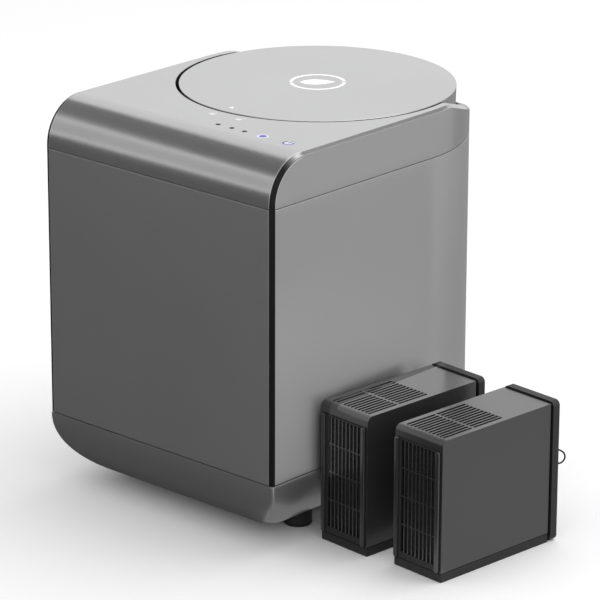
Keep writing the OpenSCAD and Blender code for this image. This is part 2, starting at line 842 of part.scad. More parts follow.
module fan_wheel() {
  hub = fan_w / 4 - 1;
  color("dimgray") machine() {
    at_fan(plenum_y - fan_t + 2) cylinder(r = hub, h = fan_t - 6 - seat);
    at_fan(plenum_y - fan_t + 2) cylinder(r = fan_axle_r, h = fan_t - 4);
    for (i = [0 : 6]) translate([fan_x, 0, fan_z]) rotate([0, i * 360 / 7, 0])
      translate([hub - 1, plenum_y - fan_t / 2 - 2, 0]) rotate([35, 0, 0])
        box(0, fan_w / 2 - 4 - hub, -8, 8, -0.8, 0.8);
  }
}

module fan_cowl() {
  w = fan_w / 2;
  color("dimgray") machine() difference() {
    box(fan_x - w, fan_x + w, cowl_y, cowl_y + cowl_d, fan_z - w, fan_z + w);
    box(fan_x - w + 2, fan_x + w - 2, cowl_y + 2, cowl_y + cowl_d + 1, fan_z - w + 2, fan_z + w - 2);
    translate([pipe_x, pipe_y, fan_z]) cylinder(r = pipe_r - 2, h = fan_w);
  }
}

module exhaust_pipe() {
  low = fan_z + fan_w / 2;
  color("gray") machine() difference() {
    union() {
      translate([pipe_x, pipe_y, low]) cylinder(r = pipe_r, h = pipe_top + pipe_r - low);
      translate([pipe_x, pipe_y, pipe_top]) rotate([0, 0, pipe_turn]) rotate([0, 90, 0])
        cylinder(r = branch_r, h = pipe_far - pot_r - pot_t - seat);
    }
    translate([pipe_x, pipe_y, low - 1]) cylinder(r = pipe_r - 1.5, h = pipe_top - low + 1);
    translate([pipe_x, pipe_y, pipe_top]) rotate([0, 0, pipe_turn]) rotate([0, 90, 0])
      cylinder(r = branch_r - 1.5, h = pipe_far);
  }
}

// Flat box that spreads the fan's air over the fronts of both bays
module plenum() {
  w = fan_w / 2;
  right = bay_out_x - bay_t;
  color("dimgray") machine() difference() {
    box(fan_x - w, right, plenum_y, bay_y, fan_z - w, fan_z + w);
    box(fan_x - w + 2, right - 2, plenum_y + 2, bay_y + 1, fan_z - w + 2, fan_z + w - 2);
    at_fan(plenum_y - 1) cylinder(r = fan_w / 2 - 2, h = 4);
  }
  color("dimgray") machine() box(fan_x - w, -bay_out_x + 4, bay_y - 2, bay_y, fan_z - w, fan_z + w);
}

module bay_housing() {
  color("gray") machine() difference() {
    union() {
      box(-bay_out_x, bay_out_x, bay_y, panel_y - skin, bay_z, bay_top);
      for (s = [-1, 1], z = screw_zs) box(s * screw_x - 7, s * screw_x + 7,
        panel_y - skin - 8, panel_y - skin, z - 7, z + 7);
    }
    for (s = [-1, 1]) {
      box(s * bay_x - bay_w / 2, s * bay_x + bay_w / 2, bay_y + bay_t, panel_y,
        bay_z + bay_t, bay_top - bay_t);
      box(s * bay_x - bay_w / 2 + 8, s * bay_x + bay_w / 2 - 8, bay_y - 1, bay_y + 3,
        fan_z - fan_w / 2 + 4, fan_z + fan_w / 2 - 4);
      for (z = screw_zs) translate([s * screw_x, panel_y, z]) rotate([90, 0, 0])
        cylinder(r = screw_r + run, h = 20);
      box(s * bay_x - cart_w / 3, s * bay_x + cart_w / 3, cart_y + cart_r, cart_y + cart_r + field_l,
        bay_top - bay_t - 1, bay_top + 1);
    }
  }
}

module rear_panel() {
  color("dimgray") machine() difference() {
    intersection() {
      union() {
        base_solid(0, seam_lo);
        plan_block(0, seam_lo - 1, seam_hi);
      }
      difference() {
        recess_cut(-slack);
        box(-recess_x + skin, recess_x - skin, panel_y, body_d + 9, recess_z0 + skin, recess_z1 - skin);
      }
    }
    for (s = [-1, 1]) box(s * bay_x - bay_w / 2, s * bay_x + bay_w / 2, panel_y - 9, panel_y + 9,
      bay_z + bay_t, bay_top - bay_t);
    for (s = [-1, 1], z = screw_zs) translate([s * screw_x, panel_y + 9, z]) rotate([90, 0, 0])
      cylinder(r = screw_r + slack, h = 20);
    box(inlet_x - inlet_w / 2 + 2.4, inlet_x + inlet_w / 2 - 2.4, panel_y - 9, panel_y + 9,
      service_z - inlet_h / 2 + 2.4, service_z + inlet_h / 2 - 2.4);
    for (i = [0 : vents - 1])
      let (z = service_z + (i - (vents - 1) / 2) * vent_pitch - vent_h / 2)
        box(inlet_x + inlet_w / 2 + 9, bay_out_x - 3, panel_y - 9, panel_y + 9, z, z + vent_h);
  }
}

module mains_inlet() {
  color("black") machine() translate([inlet_x, panel_y, service_z]) difference() {
    union() {
      box(-inlet_w / 2, inlet_w / 2, 0, 2.5, -inlet_h / 2, inlet_h / 2);
      box(-inlet_w / 2 + 2.6, inlet_w / 2 - 2.6, -22, eps, -inlet_h / 2 + 2.6, inlet_h / 2 - 2.6);
    }
    difference() {
      box(-11.5, 11.5, -14, 3, -7.5, 7.5);
      for (x = [-7, 0, 7]) box(x - 1, x + 1, -14, -2, -3, 3);
    }
  }
}

module screws() {
  color("silver") machine() {
    for (s = [-1, 1], z = screw_zs) translate([s * screw_x, panel_y, z]) {
      rotate([-90, 0, 0]) cylinder(r = 2 * screw_r, h = 1.8);
      rotate([90, 0, 0]) cylinder(r = screw_r, h = 9);
    }
    for (p = foot_places()) translate([p[0], p[1], 0.5]) {
      cylinder(r = 2 * screw_r, h = 1.4);
      cylinder(r = screw_r, h = boss_top - 1.5);
    }
  }
}

// ---------------------------------------------------------------- filter cartridges
// Each is drawn with its front left foot at the origin, front towards -Y.

module cart_shell() {
  side = [cart_w, cart_l, cart_h];
  difference() {
    intersection() {
      cube(side);
      along_x(-1, cart_w + 1) {
        translate([cart_r, cart_h - cart_r]) circle(cart_r);
        translate([0, -1]) square([cart_l + 1, cart_h - cart_r + 1]);
        translate([cart_r, -1]) square([cart_l + 1, cart_h + 2]);
      }
    }
    translate([cart_t, cart_t + 2, cart_t]) cube([cart_w - 2 * cart_t, cart_l - 2 * cart_t - 2,
      cart_h - 2 * cart_t]);
    translate([cart_t, -1, band_h]) cube([cart_w - 2 * cart_t, cart_t + 4, cart_h - band_h - cart_r - 4]);
    cart_slots();
    translate([-1, -1, band_h - 0.8]) cube([cart_w + 2, 1.5, 0.8]);
    for (x = [-1, cart_w - 0.5]) translate([x, -1, band_h - 0.8]) cube([1.5, cart_l + 2, 0.8]);
  }
}

// Rows of long slots in the top, in two lengths with a rib between them
module cart_slots() {
  margin = 4.5;
  pitch = (cart_w - 2 * margin) / top_rows;
  rib = 2.5;
  half = (field_l - rib) / 2;
  for (i = [0 : top_rows - 1], k = [0, 1])
    translate([margin + (i + 0.2) * pitch, cart_r + 1 + k * (half + rib), cart_h - 2 * cart_t])
      cube([0.6 * pitch, half, 3 * cart_t]);
}

// Front insert: upright slots in four rows between two rails
module cart_grille() {
  pitch = 4.7;
  slot_w = 2.7;
  low = band_h + seat;
  high = cart_h - cart_r - 4 - seat;
  x0 = cart_w / 2 - (grille_slots * pitch - pitch + slot_w) / 2;
  row = (high - low - 14) / 4;
  rail_w = 4.5;
  difference() {
    union() {
      translate([cart_t + seat, -1, low]) cube([cart_w - 2 * cart_t - 2 * seat, 3, high - low]);
      for (x = [cart_t / 2, cart_w - cart_t / 2 - rail_w])
        translate([x, -rail_d, low]) cube([rail_w, rail_d, high - low]);
    }
    for (i = [0 : grille_slots - 1], k = [0 : 3])
      translate([x0 + i * pitch, -4, low + 7 + k * row]) cube([slot_w, 8, row - 1.4]);
  }
}

module cart_carbon() {
  edge = cart_t + seat;
  translate([edge, cart_t + 2 + seat, edge])
    cube([cart_w - 2 * edge, cart_l - 2 * cart_t - 2 - 2 * seat, cart_h - 2 * edge]);
}

module cart_cap() {
  top = cart_h + cap_out;
  difference() {
    union() {
      translate([cart_t, cart_l, cart_t]) cube([cart_w - 2 * cart_t, neck + eps, cart_h - 2 * cart_t]);
      translate([-cap_out, 0, seat]) along_y(cart_l + neck, cart_l + neck + cap_t)
        rounded(cart_w + 2 * cap_out, top - seat, 5);
      for (dz = [-4, 4]) translate([cart_w / 2, cart_l + neck + cap_t - eps, loop_z + dz])
        rotate([-90, 0, 0]) cylinder(r = cord_d / 2 + 1.2, h = 2);
    }
  }
}

// Tube swept along the route, with its end faces square to the cap
module cart_loop() {
  sides = 8;
  n = len(loop_route);
  dirs = [for (i = [0 : n - 1]) let (a = loop_route[max(i - 1, 0)], b = loop_route[min(i + 1, n - 1)],
    d = i == 0 ? [1, 0] : i == n - 1 ? [-1, 0] : b - a) d / norm(d)];
  points = [for (i = [0 : n - 1], k = [0 : sides - 1])
    let (u = cord_d / 2 * cos(360 * k / sides), v = cord_d / 2 * sin(360 * k / sides))
    [u, loop_route[i][0] - v * dirs[i][1], loop_route[i][1] + v * dirs[i][0]]];
  walls = [for (i = [0 : n - 2], k = [0 : sides - 1]) let (j = (k + 1) % sides)
    for (f = [[i * sides + k, i * sides + j, (i + 1) * sides + j],
              [i * sides + k, (i + 1) * sides + j, (i + 1) * sides + k]]) f];
  ends = [for (k = [1 : sides - 2]) for (f = [[0, k + 1, k],
    [(n - 1) * sides, (n - 1) * sides + k, (n - 1) * sides + k + 1]]) f];
  translate([cart_w / 2, cart_l + neck + cap_t + 2, loop_z])
    polyhedron(points = points, faces = concat(walls, ends));
}

module in_bay(side) {
  machine() translate([side * bay_x - cart_w / 2, cart_y, bay_z + bay_t + seat]) children();
}

module spare(i) {
  machine() translate([spare_x[i], spare_y, 0]) rotate([0, 0, -spare_turn]) children();
}

module filter_l_shell() { color("dimgray") in_bay(-1) cart_shell(); }
module filter_l_grille() { color("black") in_bay(-1) cart_grille(); }
module filter_l_carbon() { color("black") in_bay(-1) cart_carbon(); }
module filter_l_cap() { color("black") in_bay(-1) cart_cap(); }
module filter_l_loop() { color("black") in_bay(-1) cart_loop(); }
module filter_r_shell() { color("dimgray") in_bay(1) cart_shell(); }
module filter_r_grille() { color("black") in_bay(1) cart_grille(); }
module filter_r_carbon() { color("black") in_bay(1) cart_carbon(); }
module filter_r_cap() { color("black") in_bay(1) cart_cap(); }
module filter_r_loop() { color("black") in_bay(1) cart_loop(); }
module spare_a_shell() { color("dimgray") spare(0) cart_shell(); }
module spare_a_grille() { color("black") spare(0) cart_grille(); }
module spare_a_carbon() { color("black") spare(0) cart_carbon(); }
module spare_a_cap() { color("black") spare(0) cart_cap(); }
module spare_a_loop() { color("black") spare(0) cart_loop(); }
module spare_b_shell() { color("dimgray") spare(1) cart_shell(); }
module spare_b_grille() { color("black") spare(1) cart_grille(); }
module spare_b_carbon() { color("black") spare(1) cart_carbon(); }
module spare_b_cap() { color("black") spare(1) cart_cap(); }
module spare_b_loop() { color("black") spare(1) cart_loop(); }

base_tray();
rubber_feet();
front_panel();
wrap_shell();
top_shell();
corner_strips();
status_lenses();
power_lens();
touch_board();
power_board();
lid_cover();
lid_core();
lid_seal();
lid_magnet();
lid_sensor();
chamber_pot();
insulation();
heater_plate();
bucket();
bucket_bush();
bucket_bail();
stirrer();
stirrer_arms();
output_shaft();
output_gear();
bearings();
gear_plate();
gear_cover();
frame_posts();
motor();
motor_pinion();
fan_frame();
fan_wheel();
exhaust_pipe();
fan_cowl();
plenum();
bay_housing();
rear_panel();
mains_inlet();
screws();
filter_l_shell();
filter_l_grille();
filter_l_carbon();
filter_l_cap();
filter_l_loop();
filter_r_shell();
filter_r_grille();
filter_r_carbon();
filter_r_cap();
filter_r_loop();
spare_a_shell();
spare_a_grille();
spare_a_carbon();
spare_a_cap();
spare_a_loop();
spare_b_shell();
spare_b_grille();
spare_b_carbon();
spare_b_cap();
spare_b_loop();
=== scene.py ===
"""Visible pieces, finishes, floor and light of a food waste composter with its cartridges."""

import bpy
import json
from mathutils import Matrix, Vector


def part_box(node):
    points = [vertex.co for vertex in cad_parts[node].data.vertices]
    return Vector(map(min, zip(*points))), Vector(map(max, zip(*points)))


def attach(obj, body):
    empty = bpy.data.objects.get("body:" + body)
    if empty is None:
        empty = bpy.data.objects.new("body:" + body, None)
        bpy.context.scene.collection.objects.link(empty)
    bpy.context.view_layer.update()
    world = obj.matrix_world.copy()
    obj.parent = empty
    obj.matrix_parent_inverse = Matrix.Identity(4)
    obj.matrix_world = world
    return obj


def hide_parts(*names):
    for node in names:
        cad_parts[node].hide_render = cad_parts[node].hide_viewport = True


bl_info = {
    "name": "Food Waste Composter",
    "version": (1, 0, 0),
    "blender": (4, 5, 0),
    "location": "View3D > Sidebar > Composter",
    "description": "Builds the visible pieces of a worktop composter round its packed frame",
    "category": "Object",
}

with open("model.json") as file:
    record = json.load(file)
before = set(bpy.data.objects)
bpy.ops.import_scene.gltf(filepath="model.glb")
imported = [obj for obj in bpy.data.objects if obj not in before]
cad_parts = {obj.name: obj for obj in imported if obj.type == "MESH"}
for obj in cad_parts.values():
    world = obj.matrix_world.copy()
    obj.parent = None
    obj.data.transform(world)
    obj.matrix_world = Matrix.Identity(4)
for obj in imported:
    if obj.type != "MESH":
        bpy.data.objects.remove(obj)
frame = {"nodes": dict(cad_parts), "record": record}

import json
import math

import bmesh
import bpy
from bpy.props import FloatProperty, FloatVectorProperty, IntProperty, PointerProperty
from mathutils import Matrix, Vector
from mathutils.geometry import delaunay_2d_cdt

# ------------------------------------------------------------------ sizes read from the frame
# Pieces are drawn in millimetres in the machine's own axes: X from its middle, Y from its front
# panel, Z from the surface it stands on. put() turns them into metres in the shared frame.

MM = 0.001
NODES = frame["nodes"]
BODY_OF = {n: b for b, names in frame["record"]["behaviour"]["bodies"].items() for n in names}
SLOT_OF = {part["node"]: part["material_slot"] for part in frame["record"]["subparts"]}
CASE_MIDDLE = sum(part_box("top_shell"), Vector()) / 2
FRONT_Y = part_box("front_panel")[0].y
ORIGIN = Vector((CASE_MIDDLE.x, FRONT_Y, 0))
TO_FRAME = Matrix.Translation(ORIGIN) @ Matrix.Scale(MM, 4)
CARTRIDGES = ("filter_l", "filter_r", "spare_a", "spare_b")


def span(node):
    """Lowest and highest corner of a node, in the machine's millimetres."""
    low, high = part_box(node)
    return (low - ORIGIN) / MM, (high - ORIGIN) / MM


CASE_HIGH = span("top_shell")[1]
LID_LOW, LID_HIGH = span("lid_cover")
PANEL_LOW, PANEL_HIGH = span("front_panel")
TRAY_LOW, TRAY_HIGH = span("base_tray")
STRIP_LOW, STRIP_HIGH = span("corner_strips")
POWER_LOW, POWER_HIGH = span("power_lens")
DECK_Z = CASE_HIGH.z
HALF_W = CASE_HIGH.x
DEPTH = CASE_HIGH.y
AXIS_Y = (LID_LOW.y + LID_HIGH.y) / 2
BACK_R = DEPTH - AXIS_Y
LID_R = LID_HIGH.x
PANEL_RIB = 3  # how far the ribs behind the front panel stand out
SKIN = PANEL_HIGH.y - PANEL_LOW.y - PANEL_RIB
STRIP_W = HALF_W - PANEL_HIGH.x
ROLL_R = STRIP_HIGH.y
POWER_X = (POWER_LOW.x + POWER_HIGH.x) / 2
LENS_Y = (POWER_LOW.y + POWER_HIGH.y) / 2


# ------------------------------------------------------------------ settings in the sidebar


class CaseSettings(bpy.types.PropertyGroup):
    """Sizes of the case's edges and lines, in millimetres."""

    seam: FloatProperty(
        name="Seam", description="Height of the open line at each seam", default=0.8)
    chamfer: FloatProperty(name="Chamfer", description="Chamfer round the deck", default=2.7)
    ease: FloatProperty(
        name="Ease", description="Half width of the rounding on each crease", default=0.5)
    base_round: FloatProperty(
        name="Base round", description="Radius of the case's lower edge", default=60)
    slope_y: FloatProperty(
        name="Slope", description="Where the deck starts to fall away", default=234)
    slope_turn: FloatProperty(
        name="Slope angle", description="Fall of the rear deck, degrees", default=18.5)
    slope_round: FloatProperty(name="Slope ease", description="Radius into the slope", default=40)
    lid_gap: FloatProperty(name="Lid gap", description="Open line round the lid", default=2.6)
    lid_edge: FloatProperty(name="Lid edge", description="Rounding of the lid's rim", default=0.6)
    well_edge: FloatProperty(
        name="Well edge", description="Rounding of the deck at the lid", default=0.5)
    panel_edge: FloatProperty(
        name="Panel edge", description="Rounding of the panels at the strips", default=0.6)
    smooth: IntProperty(name="Round steps", description="Steps in a full turn", default=240)


class FinishSettings(bpy.types.PropertyGroup):
    """Base colours of the finishes."""

    paint: FloatVectorProperty(
        name="Case paint", description="Satin grey paint of the case", subtype="COLOR",
        default=(0.50, 0.50, 0.504), min=0, max=1)
    # Deck and lid take the case paint made a little lighter: painted light on the faces that look
    # up to the lamp above.
    deck: FloatVectorProperty(
        name="Deck and lid", description="Lighter paint of deck and lid", subtype="COLOR",
        default=(0.515, 0.515, 0.519), min=0, max=1)
    cartridge: FloatVectorProperty(
        name="Cartridge", description="Grey plastic of the cartridges", subtype="COLOR",
        default=(0.024, 0.024, 0.0245), min=0, max=1)
    black: FloatVectorProperty(
        name="Black", description="Black plastic", subtype="COLOR",
        default=(0.012, 0.012, 0.012), min=0, max=1)
    lamp: FloatVectorProperty(
        name="Lamp", description="Light behind the power key", subtype="COLOR",
        default=(0.055, 0.048, 0.21), min=0, max=1)


class ViewSettings(bpy.types.PropertyGroup):
    """Camera and lamps."""

    lens: FloatProperty(name="Lens", description="Focal length of the camera, mm", default=220.99)
    turn: FloatProperty(
        name="Turn", description="Camera's turn to the left of +Y, degrees", default=42.19)
    pitch: FloatProperty(
        name="Pitch", description="Camera's tilt below level, degrees", default=19.16)
    roll: FloatProperty(name="Roll", description="Camera's roll, degrees", default=0.174)
    place: FloatVectorProperty(
        name="Place", description="Camera's place", subtype="XYZ", unit="LENGTH",
        default=(2.10006, -2.39065, 1.2888))
    fill: FloatProperty(name="Fill", description="Strength of the even light", default=0.9)
    top_power: FloatProperty(
        name="Top lamp", description="Power of the lamp above", unit="POWER", default=14)
    side_power: FloatProperty(
        name="Side lamp", description="Power of the side lamp", unit="POWER", default=6)


def case_set():
    """The sidebar's sizes of the case."""
    return bpy.context.scene.composter_case


def colours():
    """The sidebar's base colours."""
    return bpy.context.scene.composter_finish


# ------------------------------------------------------------------ finishes

PAINT_METAL = 0.8  # how metallic the case's paint is
FLAKE_SCALE = 5200  # flakes of the paint, per metre
FLAKE_TONES = (0.93, 1.07)  # darkest and lightest flake, as shares of the paint
FLAKE_ROUGH = 0.02  # how much flakes differ in roughness, up and down
STRIP_SHEEN_FADE = (0.30, 1.05)  # where the strips' black starts and stops fading into a painted reflection, in shares of the roll
INSERT_COLOUR = (0.024, 0.024, 0.0245)


def new_material(name):
    """A material with its Principled shader, its links and a reader of object coordinates."""
    material = bpy.data.materials.new(name)
    material.use_nodes = True
    nodes = material.node_tree.nodes
    shader = nodes["Principled BSDF"]
    coords = nodes.new("ShaderNodeTexCoord")
    return material, nodes, material.node_tree.links, shader, coords.outputs["Object"]


def fixed(node, values):
    """Plain values for a node's inputs, by name."""
    for name, value in values.items():
        node.inputs[name].default_value = value


def maths(nodes, links, operation, *values):
    """The result of an operation on sockets or plain numbers."""
    step = nodes.new("ShaderNodeMath")
    step.operation = operation
    for socket, value in zip(step.inputs, values):
        if isinstance(value, bpy.types.NodeSocket):
            links.new(value, socket)
        else:
            socket.default_value = value
    return step.outputs[0]


def noise(nodes, links, coords, scale, detail=3.0, stretch=None):
    """Noise over object coordinates, stretched along an axis where stretch is given."""
    texture = nodes.new("ShaderNodeTexNoise")
    fixed(texture, {"Scale": scale, "Detail": detail})
    if stretch:
        mapping = nodes.new("ShaderNodeMapping")
        fixed(mapping, {"Scale": stretch})
        links.new(coords, mapping.inputs["Vector"])
        coords = mapping.outputs["Vector"]
    links.new(coords, texture.inputs["Vector"])
    return texture.outputs["Fac"]


def ranged(nodes, links, value, low, high, start=0.2, end=0.8):
    """The value spread from start..end to low..high, eased at both ends."""
    spread = nodes.new("ShaderNodeMapRange")
    spread.interpolation_type = "SMOOTHERSTEP"
    fixed(spread, {"From Min": start, "From Max": end, "To Min": low, "To Max": high})
    links.new(value, spread.inputs["Value"])
    return spread.outputs["Result"]


def blended(nodes, links, factor, first, last):
    """A mix of two colours by a factor from 0 to 1."""
    blend = nodes.new("ShaderNodeMix")
    blend.data_type = "RGBA"
    sockets = [s for s in blend.inputs if s.type == "RGBA"]
    sockets[0].default_value = (*first, 1)
    sockets[1].default_value = (*last, 1)
    links.new(factor, blend.inputs["Factor"])
    return next(s for s in blend.outputs if s.type == "RGBA")


def tinted(nodes, links, factor, colour, low, high):
    """The colour made darker or lighter by a factor from 0 to 1."""
    dark = [c * low for c in colour]
    light = [min(1, c * high) for c in colour]
    return blended(nodes, links, factor, dark, light)


def bumped(nodes, links, shader, height, strength, distance):
    """Relief in the shader's normal, its depth in millimetres."""
    bump = nodes.new("ShaderNodeBump")
    fixed(bump, {"Strength": strength, "Distance": distance * MM})
    links.new(height, bump.inputs["Height"])
    links.new(bump.outputs["Normal"], shader.inputs["Normal"])


def plastic(name, colour, rough=0.45, grain=0.02, grain_scale=1800, cloud=0.06, metallic=0.0,
            rough_spread=0.05, coat=0.0, stretch=None, level=0.5, coat_rough=0.08):
    """Moulded, painted or drawn surface: slight clouds in its colour and a fine grain."""
    material, nodes, links, shader, coords = new_material(name)
    fixed(shader, {"Metallic": metallic, "Specular IOR Level": level, "Coat Weight": coat,
                   "Coat Roughness": coat_rough})
    broad = noise(nodes, links, coords, 9, 4)
    fine = noise(nodes, links, coords, grain_scale, 2, stretch)
    factor = maths(nodes, links, "ADD", ranged(nodes, links, broad, 0, 0.6),
                   ranged(nodes, links, fine, 0, 0.4))
    links.new(tinted(nodes, links, factor, colour, 1 - cloud, 1 + cloud),
              shader.inputs["Base Color"])
    links.new(ranged(nodes, links, fine, rough - rough_spread, rough + rough_spread),
              shader.inputs["Roughness"])
    if grain:
        bumped(nodes, links, shader, fine, 0.6, grain)
    return material


def flake_paint(name, colour, rough):
    """Satin metallic paint, whose tiny flakes differ in brightness and roughness."""
    material, nodes, links, shader, coords = new_material(name)
    fixed(shader, {"Metallic": PAINT_METAL})
    flakes = nodes.new("ShaderNodeTexVoronoi")
    fixed(flakes, {"Scale": FLAKE_SCALE})
    links.new(coords, flakes.inputs["Vector"])
    grey = nodes.new("ShaderNodeRGBToBW")
    links.new(flakes.outputs["Color"], grey.inputs["Color"])
    tone = grey.outputs["Val"]
    broad = noise(nodes, links, coords, 6, 3)
    factor = maths(nodes, links, "ADD", ranged(nodes, links, tone, 0, 0.7, 0, 1),
                   ranged(nodes, links, broad, 0, 0.3))
    links.new(tinted(nodes, links, factor, colour, *FLAKE_TONES), shader.inputs["Base Color"])
    links.new(ranged(nodes, links, tone, rough - FLAKE_ROUGH, rough + FLAKE_ROUGH, 0, 1),
              shader.inputs["Roughness"])
    return material


def strip_with_painted_sheen():
    """Gloss black with a painted reflection over the top of the roll, where it fades into the deck
    paint's colour and metal.
    """
    material, nodes, links, shader, coords = new_material("strip_gloss_painted_sheen")
    fixed(shader, {"Specular IOR Level": 0.12})
    axes = nodes.new("ShaderNodeSeparateXYZ")
    links.new(coords, axes.inputs["Vector"])
    start, end = (FRONT_Y + share * ROLL_R * MM for share in STRIP_SHEEN_FADE)
    # painted reflection: along Y over the roll the black turns into the deck paint
    sheen_fade = ranged(nodes, links, axes.outputs["Y"], 0, 1, start, end)
    links.new(blended(nodes, links, sheen_fade, colours().black, colours().deck),
              shader.inputs["Base Color"])
    links.new(ranged(nodes, links, axes.outputs["Y"], 0, PAINT_METAL, start, end),
              shader.inputs["Metallic"])
    film = noise(nodes, links, coords, 40, 2)
    links.new(ranged(nodes, links, film, 0.2, 0.26), shader.inputs["Roughness"])
    return material


def brushed(name, colour, rough, stretch):
    """Metal with fine lines along one axis."""
    return plastic(name, colour, rough, 0.006, 900, 0.05, 1.0, 0.06, stretch=stretch)


def granules():
    """Loose black carbon, matt and lumpy."""
    material, nodes, links, shader, coords = new_material("carbon_granules")
    lumps = noise(nodes, links, coords, 600, 5)
    links.new(tinted(nodes, links, lumps, (0.012, 0.012, 0.013), 0.5, 2.0),
              shader.inputs["Base Color"])
    links.new(ranged(nodes, links, lumps, 0.5, 0.8), shader.inputs["Roughness"])
    bumped(nodes, links, shader, lumps, 0.8, 0.3)
    return material


def circuit():
    """Green solder mask with lighter tracks."""
    material, nodes, links, shader, coords = new_material("circuit_board")
    tracks = nodes.new("ShaderNodeTexBrick")
    fixed(tracks, {"Scale": 220, "Mortar Size": 0.03, "Color1": (0.010, 0.075, 0.028, 1),
                   "Color2": (0.012, 0.085, 0.032, 1), "Mortar": (0.03, 0.16, 0.06, 1)})
    links.new(coords, tracks.inputs["Vector"])
    links.new(tracks.outputs["Color"], shader.inputs["Base Color"])
    film = noise(nodes, links, coords, 60, 3)
    links.new(ranged(nodes, links, film, 0.25, 0.4), shader.inputs["Roughness"])
    return material


def fibre():
    """Pale mineral wool."""
    material, nodes, links, shader, coords = new_material("fibre_mat")
    fixed(shader, {"Roughness": 0.95, "Sheen Weight": 0.3})
    strands = noise(nodes, links, coords, 420, 6, (1, 1, 3))
    links.new(tinted(nodes, links, strands, (0.62, 0.58, 0.47), 0.75, 1.15),
              shader.inputs["Base Color"])
    bumped(nodes, links, shader, strands, 0.8, 0.4)
    return material


def braid():
    """Thin braided cord."""
    material, nodes, links, shader, coords = new_material("loop_braid")
    fixed(shader, {"Roughness": 0.8})
    weave = nodes.new("ShaderNodeTexWave")
    weave.bands_direction = "DIAGONAL"
    fixed(weave, {"Scale": 500})
    links.new(coords, weave.inputs["Vector"])
    links.new(tinted(nodes, links, weave.outputs["Fac"], colours().black, 0.7, 1.8),
              shader.inputs["Base Color"])
    bumped(nodes, links, shader, weave.outputs["Fac"], 0.5, 0.08)
    return material


def glowing_print(name, colour, strength):
    """Print with a glow of its own: the lamps are lit from behind, while the glow of the white
    print and of the halo round the lit lamp is painted light.
    """
    material, nodes, links, shader, coords = new_material(name)
    fixed(shader, {"Emission Strength": strength, "Roughness": 0.35})
    spots = noise(nodes, links, coords, 300, 2)
    for target in ("Base Color", "Emission Color"):
        links.new(tinted(nodes, links, spots, colour, 0.95, 1.05), shader.inputs[target])
    return material


def make_finishes():
    """Every finish by the record's slot, with the extra ones that detail needs."""
    tone = colours()
    black, cartridge = tuple(tone.black), tuple(tone.cartridge)
    return {
        "case_panel": flake_paint("case_paint", tone.paint, 0.42),
        # deck paint: the case paint made a little lighter, as painted light on the upward faces
        "top_plastic": flake_paint("deck_paint_lit_copy", tone.deck, 0.24),
        "tray_plastic": flake_paint("tray_paint", tone.paint, 0.32),
        # black strips whose grey over the roll is a painted reflection
        "strip_black": strip_with_painted_sheen(),
        "rubber_black": plastic("foot_rubber", black, 0.8, 0.05, 900, 0.15),
        "lens_black": plastic("smoked_lens", (0.004, 0.004, 0.005), 0.45, 0.0, 900, 0.1, level=0.1),
        "lens_blue": plastic("key_window", (0.60, 0.61, 0.72), 0.3, 0.0, 900, 0.02),
        "board_green": circuit(),
        "pot_metal": brushed("drawn_aluminium", (0.62, 0.62, 0.63), 0.34, (1, 1, 0.04)),
        "fibre_mat": fibre(),
        "bucket_coat": plastic("non_stick_coat", (0.035, 0.035, 0.037), 0.42, 0.03, 1500, 0.2),
        "steel": brushed("brushed_steel", (0.56, 0.56, 0.57), 0.3, (1, 0.05, 1)),
        "gear_plastic": plastic("gear_resin", (0.72, 0.71, 0.66), 0.42, 0.02, 1200, 0.03),
        "brass": plastic("turned_brass", (0.72, 0.50, 0.20), 0.28, 0.005, 1400, 0.06, 1.0),
        "motor_metal": plastic("motor_can", (0.03, 0.03, 0.032), 0.4, 0.03, 1000, 0.12, 0.3),
        "duct_plastic": plastic("duct_resin", (0.03, 0.03, 0.031), 0.5, 0.03, 1600, 0.12),
        "cartridge_grey": plastic("cartridge_resin", cartridge, 0.34, 0.02, 1500, 0.06, coat=0.85,
                                  coat_rough=0.25),
        "cartridge_dark": plastic("insert_resin", INSERT_COLOUR, 0.5, 0.02, 1500, 0.06, level=0.3),
        "cartridge_black": plastic("cap_resin", black, 0.5, 0.03, 1500, 0.15),
        "carbon": granules(),
        "loop_cord": braid(),
        # dark finish that is painted shade: in the gap round the lid, on the chamber's ledge and on
        # the lips behind the seams
        "seam_and_gap_shade": plastic("seam_and_gap_shade_resin", (0.02, 0.02, 0.021), 0.6, 0.02, 1500, 0.1),
        # the white print's faint glow is painted brightness; nothing lights it from behind
        "print_white": glowing_print("white_print", (0.9, 0.9, 0.9), 0.15),
        "print_faint": glowing_print("faint_print", (0.72, 0.72, 0.72), 0.0),
        "lamp_blue": glowing_print("lamp_light", tuple(tone.lamp), 0.25),
        # the halo is painted light: the lit lamp's glow on the deck round it
        "lamp_halo": glowing_print("lamp_halo", (0.62, 0.61, 0.92), 0.25),
    }


FINISH = {}


# ------------------------------------------------------------------ mesh helpers

MERGE = 2e-6  # doubles of a CAD node's mesh lie closer than this, in metres
FLAT = 0.6  # facets of a CAD node that turn less than this lie in one face, in degrees


def put(bm):
    """Millimetres in the machine's axes become metres in the shared frame."""
    bm.transform(TO_FRAME)


def moved(piece, matrix):
    """The piece with its mesh moved."""
    piece.data.transform(matrix)
    return piece


def new_object(name, bm):
    """An object with the mesh, which is used up."""
    mesh = bpy.data.meshes.new(name)
    bm.to_mesh(mesh)
    bm.free()
    piece = bpy.data.objects.new(name, mesh)
    bpy.context.scene.collection.objects.link(piece)
    return piece


def settle(piece):
    """The piece's modifiers become plain mesh."""
    bpy.context.view_layer.update()
    shown = piece.evaluated_get(bpy.context.evaluated_depsgraph_get())
    mesh = bpy.data.meshes.new_from_object(shown)
    piece.modifiers.clear()
    piece.data = mesh


